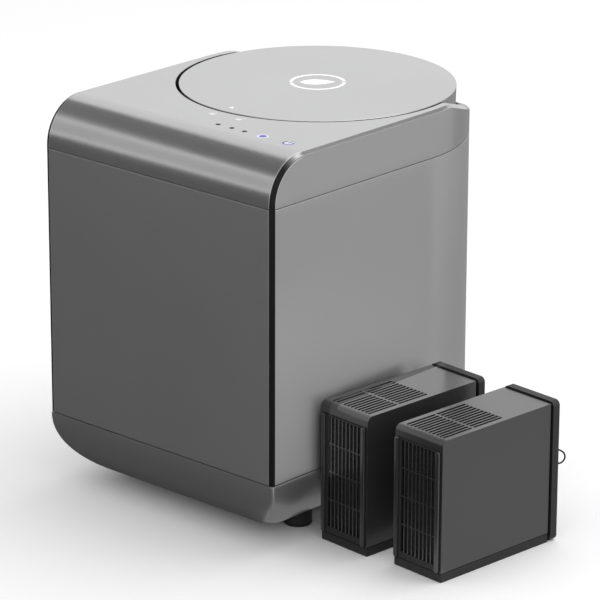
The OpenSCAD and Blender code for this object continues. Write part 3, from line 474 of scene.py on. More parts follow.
def soften(piece, width, segments=2, limit=30):
    """Rounds the piece's edges by a width in millimetres."""
    bevel = piece.modifiers.new("Bevel", "BEVEL")
    bevel.width = width * MM
    bevel.segments = segments
    bevel.limit_method = "ANGLE"
    bevel.angle_limit = math.radians(limit)
    bevel.miter_outer = "MITER_ARC"


def thicken(piece, wall):
    """Gives a surface its wall, on the side away from its normals."""
    solidify = piece.modifiers.new("Wall", "SOLIDIFY")
    solidify.thickness = wall * MM
    solidify.offset = -1
    solidify.use_even_offset = True


def shade(piece, angle=38):
    """Smooth shading that keeps flats flat."""
    piece.data.shade_smooth()
    piece.data.set_sharp_from_angle(angle=math.radians(angle))
    weighted = piece.modifiers.new("Flats", "WEIGHTED_NORMAL")
    weighted.keep_sharp = True


def own(piece, body, slot, finish=None, replaces=()):
    """Rides on a body, takes its finishes, the slot's own where none are given, and hides the CAD
    nodes it stands for.
    """
    names = finish or (slot,)
    spots = [min(face.material_index, len(names) - 1) for face in piece.data.polygons]
    piece.data.materials.clear()
    for name in names:
        piece.data.materials.append(FINISH[name])
    piece.data.polygons.foreach_set("material_index", spots)
    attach(piece, body)
    if replaces:
        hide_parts(*replaces)


def coated(piece, finish):
    """The whole piece in one finish."""
    piece.data.materials.clear()
    piece.data.materials.append(FINISH[finish])
    for face in piece.data.polygons:
        face.material_index = 0


def stand_in(piece, node, finish=None):
    """The piece stands for one CAD node, and rides and is finished as it is."""
    piece.name = node + "_form"
    own(piece, BODY_OF[node], SLOT_OF[node], finish, (node,))


def node_mesh(node, whole_faces=True):
    """A CAD node's mesh with its doubles merged and, unless told not to, its flat facets joined."""
    bm = bmesh.new()
    bm.from_mesh(NODES[node].data)
    bmesh.ops.remove_doubles(bm, verts=bm.verts, dist=MERGE)
    bmesh.ops.dissolve_degenerate(bm, edges=bm.edges, dist=MERGE)
    if whole_faces:
        bmesh.ops.dissolve_limit(bm, angle_limit=math.radians(FLAT), verts=bm.verts, edges=bm.edges)
    return bm


def refined(node, width, segments=2):
    """A CAD node's own shape with its edges rounded, or as it is where the width is 0."""
    piece = new_object(node, node_mesh(node, width > 0))
    if width:
        soften(piece, width, segments)
        settle(piece)
    shade(piece)
    stand_in(piece, node)


def recalculated(bm):
    """Doubles merged and normals outwards."""
    bmesh.ops.remove_doubles(bm, verts=bm.verts, dist=1e-4)
    bmesh.ops.recalc_face_normals(bm, faces=bm.faces)


def loft(bm, rings, closed=True, cap_start=False, cap_end=False):
    """Quads between rings of points, each ring as long as the next."""
    rows = [[bm.verts.new(p) for p in ring] for ring in rings]
    for below, above in zip(rows, rows[1:]):
        count = len(below)
        for i in range(count if closed else count - 1):
            j = (i + 1) % count
            bm.faces.new((below[i], below[j], above[j], above[i]))
    if cap_start:
        bm.faces.new(rows[0][::-1])
    if cap_end:
        bm.faces.new(rows[-1])


def lathe(bm, profile, centre, steps):
    """Turns (radius, height) points round an upright axis; a radius of 0 closes the pole."""
    rows = []
    turns = [2 * math.pi * i / steps for i in range(steps)]
    for r, z in profile:
        spots = [(r * math.cos(a), r * math.sin(a)) for a in turns] if r else [(0, 0)]
        rows.append([bm.verts.new((centre[0] + x, centre[1] + y, z)) for x, y in spots])
    for a, b in zip(rows, rows[1:]):
        for i in range(steps):
            j = (i + 1) % steps
            corner = [a[i % len(a)], a[j % len(a)], b[j % len(b)], b[i % len(b)]]
            distinct = list(dict.fromkeys(corner))
            if len(distinct) > 2:
                bm.faces.new(distinct)


def brick(bm, low, high):
    """A block between two corners."""
    size = Vector(high) - Vector(low)
    middle = (Vector(high) + Vector(low)) / 2
    for vert in bmesh.ops.create_cube(bm, size=1)["verts"]:
        vert.co = Vector(vert.co[k] * size[k] + middle[k] for k in range(3))


def prism(bm, outline, z0, z1):
    """A flat outline, counterclockwise, raised between two heights."""
    loft(bm, [[(x, y, z) for x, y in outline] for z in (z0, z1)], True, True, True)


def arc_points(cx, cy, r, start, end, steps):
    """Points along an arc, in degrees."""
    turn = [math.radians(start + (end - start) * i / steps) for i in range(steps + 1)]
    return [(cx + r * math.cos(a), cy + r * math.sin(a)) for a in turn]


def circle(cx, cy, r, steps):
    """Points round a circle, none of them twice."""
    return arc_points(cx, cy, r, 0, 360, steps)[:-1]


def band(cx, cy, r_in, r_out, start, end, steps):
    """Outline of a stretch of ring."""
    outer = arc_points(cx, cy, r_out, start, end, steps)
    return outer + arc_points(cx, cy, r_in, end, start, steps)


# ------------------------------------------------------------------ repeating by geometry nodes

LOOSE_TURN = 3.0  # most that a loose copy is turned, in radians
LOOSE_GROWTH = 0.3  # most that a loose copy grows or shrinks, as a share of its size


def tree_start(name, inputs):
    """A tree with its named inputs, and its first and last node."""
    tree = bpy.data.node_groups.new(name, "GeometryNodeTree")
    tree.interface.new_socket("Geometry", in_out="OUTPUT", socket_type="NodeSocketGeometry")
    for label, kind in inputs:
        tree.interface.new_socket(label, in_out="INPUT", socket_type="NodeSocket" + kind)
    return tree, tree.nodes.new("NodeGroupInput"), tree.nodes.new("NodeGroupOutput")


def wired(tree, kind, sources, **settings):
    """A node with its settings, fed by sockets."""
    node = tree.nodes.new(kind)
    for name, value in settings.items():
        setattr(node, name, value)
    for name, source in sources.items():
        tree.links.new(source, node.inputs[name])
    return node


def tree_end(tree, start, end, instances):
    """Realize Instances and Set Material close every tree."""
    real = wired(tree, "GeometryNodeRealizeInstances", {"Geometry": instances})
    finish = wired(tree, "GeometryNodeSetMaterial",
                   {"Geometry": real.outputs["Geometry"], "Material": start.outputs["Finish"]})
    tree.links.new(finish.outputs["Geometry"], end.inputs["Geometry"])


def piece_input(tree, start):
    """The mesh of the piece that is copied."""
    info = wired(tree, "GeometryNodeObjectInfo", {"Object": start.outputs["Piece"]},
                 transform_space="ORIGINAL")
    return info.outputs["Geometry"]


def random_input(tree, start, limit, kind):
    """A random value per copy, as strong as the tree's Loose input."""
    value = wired(tree, "FunctionNodeRandomValue", {}, data_type=kind)
    limits = [s for s in value.inputs if s.name in ("Min", "Max") and s.enabled]
    for socket, number in zip(limits, (-limit, limit)):
        socket.default_value = (number,) * 3 if kind == "FLOAT_VECTOR" else number
    tree.links.new(start.outputs["Seed"], value.inputs["Seed"])
    drawn = next(s for s in value.outputs if s.enabled)
    scaled = wired(tree, "ShaderNodeVectorMath", {0: drawn, "Scale": start.outputs["Loose"]},
                   operation="SCALE")
    if kind == "FLOAT_VECTOR":
        return scaled.outputs["Vector"]
    axes = wired(tree, "ShaderNodeSeparateXYZ", {"Vector": scaled.outputs["Vector"]})
    return axes.outputs["X"]


def grid_tree():
    """Copies on a grid: two counts, two steps, and a random turn and size for loose things."""
    tree, start, end = tree_start("copies_on_grid", (
        ("Piece", "Object"), ("Finish", "Material"), ("Corner", "Vector"), ("Across", "Int"),
        ("Step across", "Vector"), ("Up", "Int"), ("Step up", "Vector"), ("Loose", "Float"),
        ("Seed", "Int")))
    across, up = (wired(tree, "GeometryNodeMeshLine", {
        "Count": start.outputs[count], "Offset": start.outputs[step]}, mode="OFFSET")
        for count, step in (("Across", "Step across"), ("Up", "Step up")))
    tree.links.new(start.outputs["Corner"], across.inputs["Start Location"])
    spread = wired(tree, "GeometryNodeInstanceOnPoints",
                   {"Points": across.outputs["Mesh"], "Instance": up.outputs["Mesh"]})
    points = wired(tree, "GeometryNodeRealizeInstances", {"Geometry": spread.outputs["Instances"]})
    turn = random_input(tree, start, LOOSE_TURN, "FLOAT_VECTOR")
    growth = random_input(tree, start, LOOSE_GROWTH, "FLOAT")
    size = maths(tree.nodes, tree.links, "ADD", growth, 1)
    copies = wired(tree, "GeometryNodeInstanceOnPoints", {
        "Points": points.outputs["Geometry"], "Instance": piece_input(tree, start),
        "Rotation": turn, "Scale": size})
    tree_end(tree, start, end, copies.outputs["Instances"])
    return tree


def ring_tree():
    """Copies turned round an axis: the piece is drawn at its first place."""
    tree, start, end = tree_start("copies_on_ring", (
        ("Piece", "Object"), ("Finish", "Material"), ("Count", "Int"), ("Axis", "Vector"),
        ("Centre", "Vector")))
    line = wired(tree, "GeometryNodeMeshLine", {"Count": start.outputs["Count"]})
    line.inputs["Offset"].default_value = (0, 0, 0)
    index = tree.nodes.new("GeometryNodeInputIndex").outputs["Index"]
    share = maths(tree.nodes, tree.links, "DIVIDE", index, start.outputs["Count"])
    turn = maths(tree.nodes, tree.links, "MULTIPLY", share, 2 * math.pi)
    euler = wired(tree, "ShaderNodeVectorMath", {0: start.outputs["Axis"], "Scale": turn},
                  operation="SCALE")
    copies = wired(tree, "GeometryNodeInstanceOnPoints", {
        "Points": line.outputs["Mesh"], "Instance": piece_input(tree, start),
        "Rotation": euler.outputs["Vector"]})
    placed = wired(tree, "GeometryNodeTransform", {
        "Geometry": copies.outputs["Instances"], "Translation": start.outputs["Centre"]})
    tree_end(tree, start, end, placed.outputs["Geometry"])
    return tree


TREES = {}


def repeated(name, kind, template, finish, **inputs):
    """Copies of a template made by a tree, as a plain mesh. The template is used up."""
    if kind not in TREES:
        TREES[kind] = {"grid": grid_tree, "ring": ring_tree}[kind]()
    group = TREES[kind]
    host = bpy.data.objects.new(name, bpy.data.meshes.new(name))
    bpy.context.scene.collection.objects.link(host)
    modifier = host.modifiers.new("Copies", "NODES")
    modifier.node_group = group
    values = {"Piece": template, "Finish": FINISH[finish], **inputs}
    for item in group.interface.items_tree:
        if item.item_type == "SOCKET" and item.in_out == "INPUT" and item.name in values:
            modifier[item.identifier] = values[item.name]
    settle(host)
    bpy.data.objects.remove(template)
    return host


def grid(name, template, finish, corner, across, step_across, up=1, step_up=(0, 0, 1), loose=0.0,
         seed=1):
    """Copies of a template on a grid from a corner."""
    return repeated(name, "grid", template, finish, Corner=corner, Across=across, Up=up,
                    Loose=loose, Seed=seed, **{"Step across": step_across, "Step up": step_up})


def ring(name, template, finish, count, axis=(0, 0, 1), centre=(0, 0, 0)):
    """Copies of a template round an axis through a centre."""
    return repeated(name, "ring", template, finish, Count=count, Axis=axis, Centre=centre)


def template(name, build, *args, bevel=0.0):
    """A small shape near the origin, in millimetres, to be copied."""
    bm = bmesh.new()
    build(bm, *args)
    piece = new_object(name, bm)
    if bevel:
        soften(piece, bevel / MM, 2)
        settle(piece)
    return piece


def joined(name, pieces):
    """One object from several, in the order given; each keeps its finish."""
    bm = bmesh.new()
    finishes = []
    for piece in pieces:
        first = len(bm.faces)
        bm.from_mesh(piece.data)
        bm.faces.ensure_lookup_table()
        names = list(piece.data.materials) or [None]
        for face in bm.faces[first:]:
            finish = names[min(face.material_index, len(names) - 1)]
            if finish not in finishes:
                finishes.append(finish)
            face.material_index = finishes.index(finish)
        bpy.data.objects.remove(piece)
    whole = new_object(name, bm)
    for finish in finishes:
        whole.data.materials.append(finish)
    return whole


# ------------------------------------------------------------------ case

NEAR = 1e-3  # places of the case closer than this are one, in millimetres
ROLL_STEP = 4.5  # degrees between the deck's rows over the front roll
SLOPE_STEPS = 6
WELL_STEP = 30  # degrees between the rings that round the deck at the lid
EDGE_SHARES = (1, 0.65, 0.3, 0.08)  # lines that round the roll's ends, in shares of panel_edge
EDGE_FADE = 4  # length over which the roll's rounded ends run out into the deck
WINDOW_STEPS = 48
LAMP_R = 1.65
LAMP_APART = 5  # corners further apart than this along X belong to two lamps
WINDOW_GAP = 0.05
WINDOW_FLANGE = 1  # how far the power window reaches under the deck
LIP_SIDES = (0.2, 1.8)  # the lip's near and far side, from the case's skin; its dark finish is painted shade behind the seam
TOP_LIP = (6, 4)  # how far the lip under the deck reaches below and above its seam
TRAY_LIP = (6, 6)
REAR_CLEAR = 0.4  # between the rear panel and the wrap-round shell
CHAMBER_LIP = 13.7  # how far the chamber's flange reaches out under the lid's ledge
TRAY_CORNER = (3, 0.5)  # radius of the tray's front corners at the seam, and its growth per inset
TRAY_FRONT_STEPS = 12
TRAY_SIDE_STEPS = 8
TRAY_LEVELS = 26


def deck_height(y):
    """Height of the deck: rolled front edge, level top, eased fall to the back."""
    case = case_set()
    if y < ROLL_R:
        return DECK_Z - ROLL_R + math.sqrt(max(0, ROLL_R ** 2 - (ROLL_R - y) ** 2))
    turn = math.radians(case.slope_turn)
    run = case.slope_round * math.sin(turn)
    if y <= case.slope_y:
        return DECK_Z
    if y <= case.slope_y + run:
        rise = math.sqrt(case.slope_round ** 2 - (y - case.slope_y) ** 2)
        return DECK_Z - case.slope_round + rise
    start = DECK_Z - case.slope_round * (1 - math.cos(turn))
    return start - (y - case.slope_y - run) * math.tan(turn)


def edge_drop(inset):
    """How far the chamfer, eased at its creases, lies below the deck at an inset from the edge."""
    case = case_set()
    over = case.chamfer + case.ease - inset
    if over <= 0:
        return 0
    if inset > case.chamfer - case.ease:
        return over ** 2 / (4 * case.ease)
    if inset > case.ease:
        return case.chamfer - inset
    return case.chamfer - inset + (case.ease - inset) ** 2 / (2 * case.ease)


def plan_inset(x, y):
    """Distance of a plan point inside the case's outline."""
    if y > AXIS_Y:
        return BACK_R - math.hypot(x, y - AXIS_Y)
    return HALF_W - abs(x)


def side_and_back(inset, ys):
    """Plan points up the right side, round the back and down the left side."""
    steps = case_set().smooth // 2
    right = [(HALF_W - inset, y) for y in ys]
    back = arc_points(0, AXIS_Y, BACK_R - inset, 0, 180, steps)
    left = [(-x, y) for x, y in right[::-1]]
    return right + back + left


def top_plan():
    """Points and edges of the deck's triangulation: outline, creases, rows, well and holes."""
    case = case_set()
    points, edges = [], []

    def line(run, closed=False):
        first = len(points)
        points.extend(Vector(p) for p in run)
        count = len(run)
        last = count if closed else count - 1
        edges.extend((first + i, first + (i + 1) % count) for i in range(last))

    inner = HALF_W - STRIP_W
    steps = round(90 / ROLL_STEP)
    rows = [ROLL_R * (1 - math.cos(math.radians(ROLL_STEP * i))) for i in range(steps)] + [ROLL_R]
    turn = math.radians(case.slope_turn)
    rows += [case.slope_y + case.slope_round * math.sin(turn * i / SLOPE_STEPS)
             for i in range(SLOPE_STEPS + 1)]
    outline = side_and_back(0, [ROLL_R, AXIS_Y])
    line([(-inner, 0), (inner, 0), (inner, ROLL_R)] + outline + [(-inner, ROLL_R)], True)
    for share in EDGE_SHARES:
        for x in (case.panel_edge * share - inner, inner - case.panel_edge * share):
            line([(x, 0), (x, ROLL_R)])
    for inset in (case.ease / 4, case.ease, case.chamfer - case.ease, case.chamfer - case.ease / 3,
                  case.chamfer + case.ease / 3, case.chamfer + case.ease):
        line(side_and_back(inset, [ROLL_R, AXIS_Y]))
    for y in rows:
        half = inner if y < ROLL_R else HALF_W
        if y >= AXIS_Y:
            half = math.sqrt(BACK_R ** 2 - (y - AXIS_Y) ** 2)
        line([(-half, y), (half, y)])
    well = LID_R + case.lid_gap
    for degrees in range(0, 91, WELL_STEP):
        reach = well + case.well_edge * (1 - math.sin(math.radians(degrees)))
        line(circle(0, AXIS_Y, reach, case.smooth), True)
    for x, r in lens_holes():
        line(circle(x, LENS_Y, r, WINDOW_STEPS), True)
    return points, edges, well


def lens_holes():
    """Middle and radius of each window in the deck."""
    power_r = (POWER_HIGH.x - POWER_LOW.x) / 2 - WINDOW_FLANGE + WINDOW_GAP
    return [(POWER_X, power_r)] + [(x, LAMP_R) for x in status_places()]


def status_places():
    """The four lamps' places along X, from the loose solids of their node."""
    xs = sorted((v.co.x - ORIGIN.x) / MM for v in NODES["status_lenses"].data.vertices)
    groups = [[xs[0]]]
    for x in xs[1:]:
        if x - groups[-1][-1] > LAMP_APART:
            groups.append([x])
        else:
            groups[-1].append(x)
    return [(g[0] + g[-1]) / 2 for g in groups]


def top_point(x, y, well):
    """Place on the deck's surface over a plan point; the roll's ends are rounded at the strips."""
    case = case_set()
    over = case.panel_edge - (HALF_W - STRIP_W - abs(x))
    if y < ROLL_R - NEAR / 10 and over > 0:
        drop = case.panel_edge - math.sqrt(max(0, case.panel_edge ** 2 - over ** 2))
        drop *= min(1, (ROLL_R - y) / EDGE_FADE)
        turn = math.acos((ROLL_R - y) / ROLL_R)
        return (x, y + drop * math.cos(turn), deck_height(y) - drop * math.sin(turn))
    return (x, y, top_height(x, y, well))


def top_height(x, y, well):
    """Height of the deck with its chamfer and the rounding at the lid."""
    case = case_set()
    drop = edge_drop(plan_inset(x, y)) if y >= ROLL_R - NEAR / 10 else 0
    edge = case.well_edge
    reach = math.hypot(x, y - AXIS_Y) - well
    if reach < edge:
        drop += edge - math.sqrt(max(0, edge ** 2 - (edge - max(0, reach)) ** 2))
    return deck_height(y) - drop


def top_surface(bm, seam_z, ledge_z, hole_r):
    """Deck with its walls down to the seam, the lid's well and the ledge round the chamber."""
    points, edges, well = top_plan()
    flat, _, faces, *_ = delaunay_2d_cdt(points, edges, [], 0, 1e-5)
    holes = lens_holes()
    inner = HALF_W - STRIP_W

    def outside_holes(x, y, margin=0):
        return all(math.hypot(x - hx, y - LENS_Y) > r + margin for hx, r in holes)

    def solid_at(x, y):
        inside = abs(x) < inner if y < ROLL_R else plan_inset(x, y) > 0
        clear = math.hypot(x, y - AXIS_Y) > well
        return inside and y > 0 and clear and outside_holes(x, y)

    verts = [bm.verts.new(top_point(p.x, p.y, well)) for p in flat]
    for face in faces:
        middle = sum((flat[i] for i in face), Vector((0, 0))) / len(face)
        if solid_at(middle.x, middle.y):
            bm.faces.new([verts[i] for i in face])
    bmesh.ops.delete(bm, geom=[v for v in bm.verts if not v.link_faces], context="VERTS")
    bm.normal_update()
    if sum(f.normal.z for f in bm.faces) < 0:
        bmesh.ops.reverse_faces(bm, faces=bm.faces)
    rim = [e for e in bm.edges if e.is_boundary]
    made = {}

    def lower(vert, z, scale=1.0):
        key = (vert, z, scale)
        if key not in made:
            x, y = vert.co.x, vert.co.y
            made[key] = bm.verts.new((x * scale, AXIS_Y + (y - AXIS_Y) * scale, z))
        return made[key]

    for edge in rim:
        loop = edge.link_loops[0]
        a, b = loop.vert, loop.link_loop_next.vert
        middle = (a.co + b.co) / 2
        if max(abs(a.co.y - ROLL_R), abs(b.co.y - ROLL_R)) < NEAR:
            continue
        reach = math.hypot(middle.x, middle.y - AXIS_Y)
        if reach < well + 0.1:
            ratio = hole_r / well
            wall = bm.faces.new((b, a, lower(a, ledge_z), lower(b, ledge_z)))
            ledge = bm.faces.new((lower(b, ledge_z), lower(a, ledge_z), lower(a, ledge_z, ratio),
                                  lower(b, ledge_z, ratio)))
            # the well's wall and the chamber's ledge take the dark second finish: painted shade
            # that darkens the gap round the lid
            wall.material_index = ledge.material_index = 1
        elif outside_holes(middle.x, middle.y, 0.5):
            bm.faces.new((b, a, lower(a, seam_z), lower(b, seam_z)))


def roll_side(bm, side, seam_z):
    """Carries a side wall forward to the strip, under its roll, with its edge rounded there."""
    edge = case_set().panel_edge

    def border(inset):
        r = ROLL_R - STRIP_W - inset
        turns = [math.radians(a) for a in range(0, 91, 3)]
        arc = [(ROLL_R - r * math.cos(a), DECK_Z - ROLL_R + r * math.sin(a)) for a in turns]
        return [(STRIP_W + inset, seam_z)] + arc

    x = side * HALF_W
    arc = border(edge)
    joint = next(e for e in bm.edges if e.is_boundary and all(
        abs(v.co.x - x) < NEAR and abs(v.co.y - ROLL_R) < NEAR for v in e.verts))
    foot, head = sorted(joint.verts, key=lambda v: v.co.z)
    share = (arc[-1][1] - foot.co.z) / (head.co.z - foot.co.z)
    _, split = bmesh.utils.edge_split(joint, foot, share)
    rim = [bm.verts.new((x, y, z)) for y, z in arc[:-1]] + [split]
    bm.faces.new([foot] + rim if side < 0 else rim[::-1] + [foot])
    for turn in (30, 60, 90):
        a = math.radians(turn)
        in_x = x - side * edge * (1 - math.cos(a))
        outer = [bm.verts.new((in_x, y, z)) for y, z in border(edge * (1 - math.sin(a)))]
        for i in range(len(rim) - 1):
            corners = (rim[i], rim[i + 1], outer[i + 1], outer[i])
            bm.faces.new(corners if side > 0 else corners[::-1])
        rim = outer


def tongue(bm, low, high, gap=0):
    """Lip behind a seam, round sides and back, with a gap of a half width at the back; it is
    finished dark as painted shade in the seam.
    """
    near, far = (SKIN + side for side in LIP_SIDES)
    paths = {inset: side_and_back(inset, [STRIP_W + 2, AXIS_Y]) for inset in (near, far)}
    runs = [[i for i, (x, _) in enumerate(paths[near]) if side * x > gap] for side in (1, -1)]
    for run in runs if gap else [range(len(paths[near]))]:
        section = ((near, low), (near, high), (far, high), (far, low), (near, low))
        loft(bm, [[(*paths[inset][i], z) for i in run] for inset, z in section], False)
    recalculated(bm)
    put(bm)


def make_top_shell():
    """Deck, roll and rear slope in one skin, with a lip behind the seam that is dark as painted
    shade.
    """
    seam_z = PANEL_HIGH.z + case_set().seam
    ledge_z = seam_z + SKIN
    hole_r = span("chamber_pot")[1].x - CHAMBER_LIP
    bm = bmesh.new()
    top_surface(bm, seam_z, ledge_z, hole_r)
    for side in (-1, 1):
        roll_side(bm, side, seam_z)
    put(bm)
    shell = new_object("top_shell_wall", bm)
    thicken(shell, SKIN)
    settle(shell)
    bm = bmesh.new()
    tongue(bm, seam_z - TOP_LIP[0], seam_z + TOP_LIP[1])
    lip = new_object("top_shell_lip", bm)
    # the second finish is painted shade, for the lid's well, the chamber's ledge and the lip
    for name in ("top_plastic", "seam_and_gap_shade"):
        shell.data.materials.append(FINISH[name])
    coated(lip, "seam_and_gap_shade")
    whole = joined("top_shell", [shell, lip])
    shade(whole)
    stand_in(whole, "top_shell", finish=("top_plastic", "seam_and_gap_shade"))


def make_wrap_shell():
    """Sides and round back of the case, with the opening for the rear panel."""
    rear_high = span("rear_panel")[1]
    half = rear_high.x + REAR_CLEAR
    cut = math.degrees(math.asin(half / BACK_R))
    turns = [math.radians(t) for t in sorted({*range(0, 181, 3), 90 - cut, 90 + cut})]
    back = [(BACK_R * math.cos(t), AXIS_Y + BACK_R * math.sin(t)) for t in turns]
    path = [(HALF_W, STRIP_W), (HALF_W, AXIS_Y / 2), *back,
            (-HALF_W, AXIS_Y / 2), (-HALF_W, STRIP_W)]
    heights = (PANEL_LOW.z, rear_high.z + REAR_CLEAR, PANEL_HIGH.z)
    bm = bmesh.new()
    rows = [[bm.verts.new((x, y, z)) for x, y in path] for z in heights]
    for k in range(2):
        for i in range(len(path) - 1):
            (xa, ya), (xb, yb) = path[i], path[i + 1]
            opening = k == 0 and max(abs(xa), abs(xb)) < half + NEAR and min(ya, yb) > AXIS_Y + 1
            if not opening:
                bm.faces.new((rows[k][i], rows[k][i + 1], rows[k + 1][i + 1], rows[k + 1][i]))
    put(bm)
    wrap = new_object("wrap_shell", bm)
    thicken(wrap, SKIN)
    soften(wrap, case_set().panel_edge, 3, 40)
    settle(wrap)
    shade(wrap)
    stand_in(wrap, "wrap_shell")


def tray_loop(inset, z):
    """One level of the base: straight front, rounded front corners, half-round back."""
    corner = TRAY_CORNER[0] + TRAY_CORNER[1] * inset
    half, start = HALF_W - inset, inset + corner
    left = arc_points(-half + corner, start, corner, 180, 270, 10)
    front = [(-half + corner + 2 * (half - corner) * i / TRAY_FRONT_STEPS, inset)
             for i in range(1, TRAY_FRONT_STEPS)]
    right = arc_points(half - corner, start, corner, 270, 360, 10)
    side = [(half, start + (AXIS_Y - start) * i / TRAY_SIDE_STEPS)
            for i in range(1, TRAY_SIDE_STEPS)]
    back = arc_points(0, AXIS_Y, BACK_R - inset, 0, 180, 90)
    other_side = [(-x, y) for x, y in side[::-1]]
    return [(x, y, z) for x, y in left + front + right + side + back + other_side]


def make_base_tray():
    """Tray with a broad round under the case, and front corners that open out as they go down."""
    case = case_set()
    low, seam_z = TRAY_LOW.z, PANEL_LOW.z - case.seam
    r = case.base_round
    turns = [math.radians(90 * i / TRAY_LEVELS) for i in range(TRAY_LEVELS + 1)]
    levels = [(r - r * math.sin(t), low + r - r * math.cos(t)) for t in turns] + [(0, seam_z)]
    bm = bmesh.new()
    loft(bm, [tray_loop(inset, z) for inset, z in levels], True, cap_start=True)
    recalculated(bm)
    put(bm)
    tray = new_object("base_tray", bm)
    thicken(tray, SKIN)
    cutter = rear_cutter()
    cut = tray.modifiers.new("Recess", "BOOLEAN")
    cut.object = cutter
    cut.operation = "DIFFERENCE"
    cut.solver = "EXACT"
    soften(tray, 0.4, 2, 50)
    settle(tray)
    bpy.data.objects.remove(cutter)
    bm = bmesh.new()
    tongue(bm, seam_z - TRAY_LIP[0], seam_z + TRAY_LIP[1], span("rear_panel")[1].x + 1)
    lip = new_object("tray_lip", bm)
    coated(tray, "tray_plastic")
    # the lip behind the seam is dark as painted shade
    coated(lip, "seam_and_gap_shade")
    whole = joined("base_tray", [tray, lip])
    shade(whole)
    stand_in(whole, "base_tray", finish=("tray_plastic", "seam_and_gap_shade"))


def rear_cutter():
    """Block that opens the tray for the rear panel."""
    low, high = span("rear_panel")
    side = Vector((REAR_CLEAR / 2, 0, 0))
    bm = bmesh.new()
    brick(bm, low - side - Vector((0, 0, REAR_CLEAR / 2)),
          Vector((high.x, DEPTH + 10, TRAY_HIGH.z + 5)) + side)
    put(bm)
    return new_object("rear_cutter", bm)


def make_strips():
    """Chamfered strips up both front corners and over the roll."""
    case = case_set()
    w, c = STRIP_W, case.chamfer
    section = [(HALF_W - w, 0), (HALF_W - c, 0), (HALF_W, c), (HALF_W, w), (HALF_W - w, w)]
    bm = bmesh.new()
    for side in (-1, 1):
        rings = [[(side * x, y, STRIP_LOW.z) for x, y in section]]
        for degrees in range(0, 91, 3):
            a = math.radians(degrees)
            rings.append([(side * x, ROLL_R - (ROLL_R - y) * math.cos(a),
                           DECK_Z - ROLL_R + (ROLL_R - y) * math.sin(a)) for x, y in section])
        loft(bm, rings, True, True, True)
    recalculated(bm)
    put(bm)
    strips = new_object("corner_strips", bm)
    soften(strips, 0.35, 2, 30)
    settle(strips)
    shade(strips, 50)
    stand_in(strips, "corner_strips")


# ------------------------------------------------------------------ lid and deck marks

LID_WALL = 3.0
LID_TAPER = 1.5  # how much narrower the lid's wall is at its foot
SLEEVE_IN = 12.05
SLEEVE_OUT = 16.0
SLEEVE_DEPTH = 8.39  # how deep the pivot's sleeve reaches into the lid's core
PRINT_RISE = 0.06
HALO_RISE = 0.03
PRINT_SUNK = 0.05
RING_IN, RING_OUT, RING_GAP = 23, 26, 4  # the lid's ring, and half of its two gaps in degrees
LEAF_START, LEAF_LONG, LEAF_HALF, LEAF_SPLIT, LEAF_TURN = 11.6, 32.8, 8, 0.6, 45
LEAF_STEPS = 14
LOCK_PLACES = ((0.9, 70.6, 0), (30.2, 74.0, 2.2))  # x, y, and how far the open bow is set aside
HALO_R, LAMP_ON_R, LAMP_RIM_R = 5.2, 3.5, 2.4
SIGN_IN, SIGN_OUT, SIGN_BAR = 3.9, 5.4, (0.7, 0.6, 5.8)  # the bar's half width, low and high end


def make_lid():
    """Lid cover: thin rounded rim, slightly tapering wall, flat top and the pivot's sleeve."""
    case = case_set()
    edge, reach = case.lid_edge, LID_R - 0.4
    low, high, under = LID_LOW.z, LID_HIGH.z, LID_HIGH.z - LID_WALL
    sleeve_low = span("lid_core")[1].z - SLEEVE_DEPTH
    foot_r = LID_R - LID_TAPER
    rim = arc_points(reach - edge, high - edge, edge, 0, 90, 6)
    inside = [(0, under), (SLEEVE_IN, under), (SLEEVE_IN, sleeve_low), (SLEEVE_OUT, sleeve_low),
              (SLEEVE_OUT, under), (LID_R - LID_WALL - 2, under), (LID_R - LID_WALL, under - 2)]
    foot = [(foot_r - LID_WALL, low + 0.3), (foot_r - LID_WALL + 0.3, low), (foot_r - 0.6, low),
            (foot_r, low + 0.6)]
    across = [(LID_R * k / 8, high) for k in range(7, 0, -1)]
    bm = bmesh.new()
    lathe(bm, inside + foot + rim + across + [(0, high)], (0, AXIS_Y), case.smooth)
    recalculated(bm)
    put(bm)
    cover = new_object("lid_cover", bm)
    shade(cover)
    stand_in(cover, "lid_cover")


def printed(name, outlines, body, finish="print_white", rise=PRINT_RISE):
    """Print that stands a hair above the deck or the lid."""
    bm = bmesh.new()
    for outline in outlines:
        prism(bm, outline, DECK_Z - PRINT_SUNK, DECK_Z + rise)
    bmesh.ops.recalc_face_normals(bm, faces=bm.faces)
    put(bm)
    own(new_object(name, bm), body, "top_plastic", (finish,))


def leaf_halves():
    """Two halves of a leaf, split along its rib, as outlines."""
    a = math.radians(LEAF_TURN)
    cx, cy = -LEAF_START, AXIS_Y - LEAF_START
    shares = [i / LEAF_STEPS for i in range(LEAF_STEPS + 1)]
    blade = [(LEAF_LONG * s, LEAF_SPLIT + LEAF_HALF * math.sin(math.pi * s ** 0.8)) for s in shares]
    blade.append((LEAF_LONG, LEAF_SPLIT))
    along, over = Vector((math.cos(a), math.sin(a))), Vector((-math.sin(a), math.cos(a)))
    upper, lower = ([(cx + x * along.x + side * y * over.x, cy + x * along.y + side * y * over.y)
                     for x, y in blade] for side in (1, -1))
    return [upper, lower[::-1]]


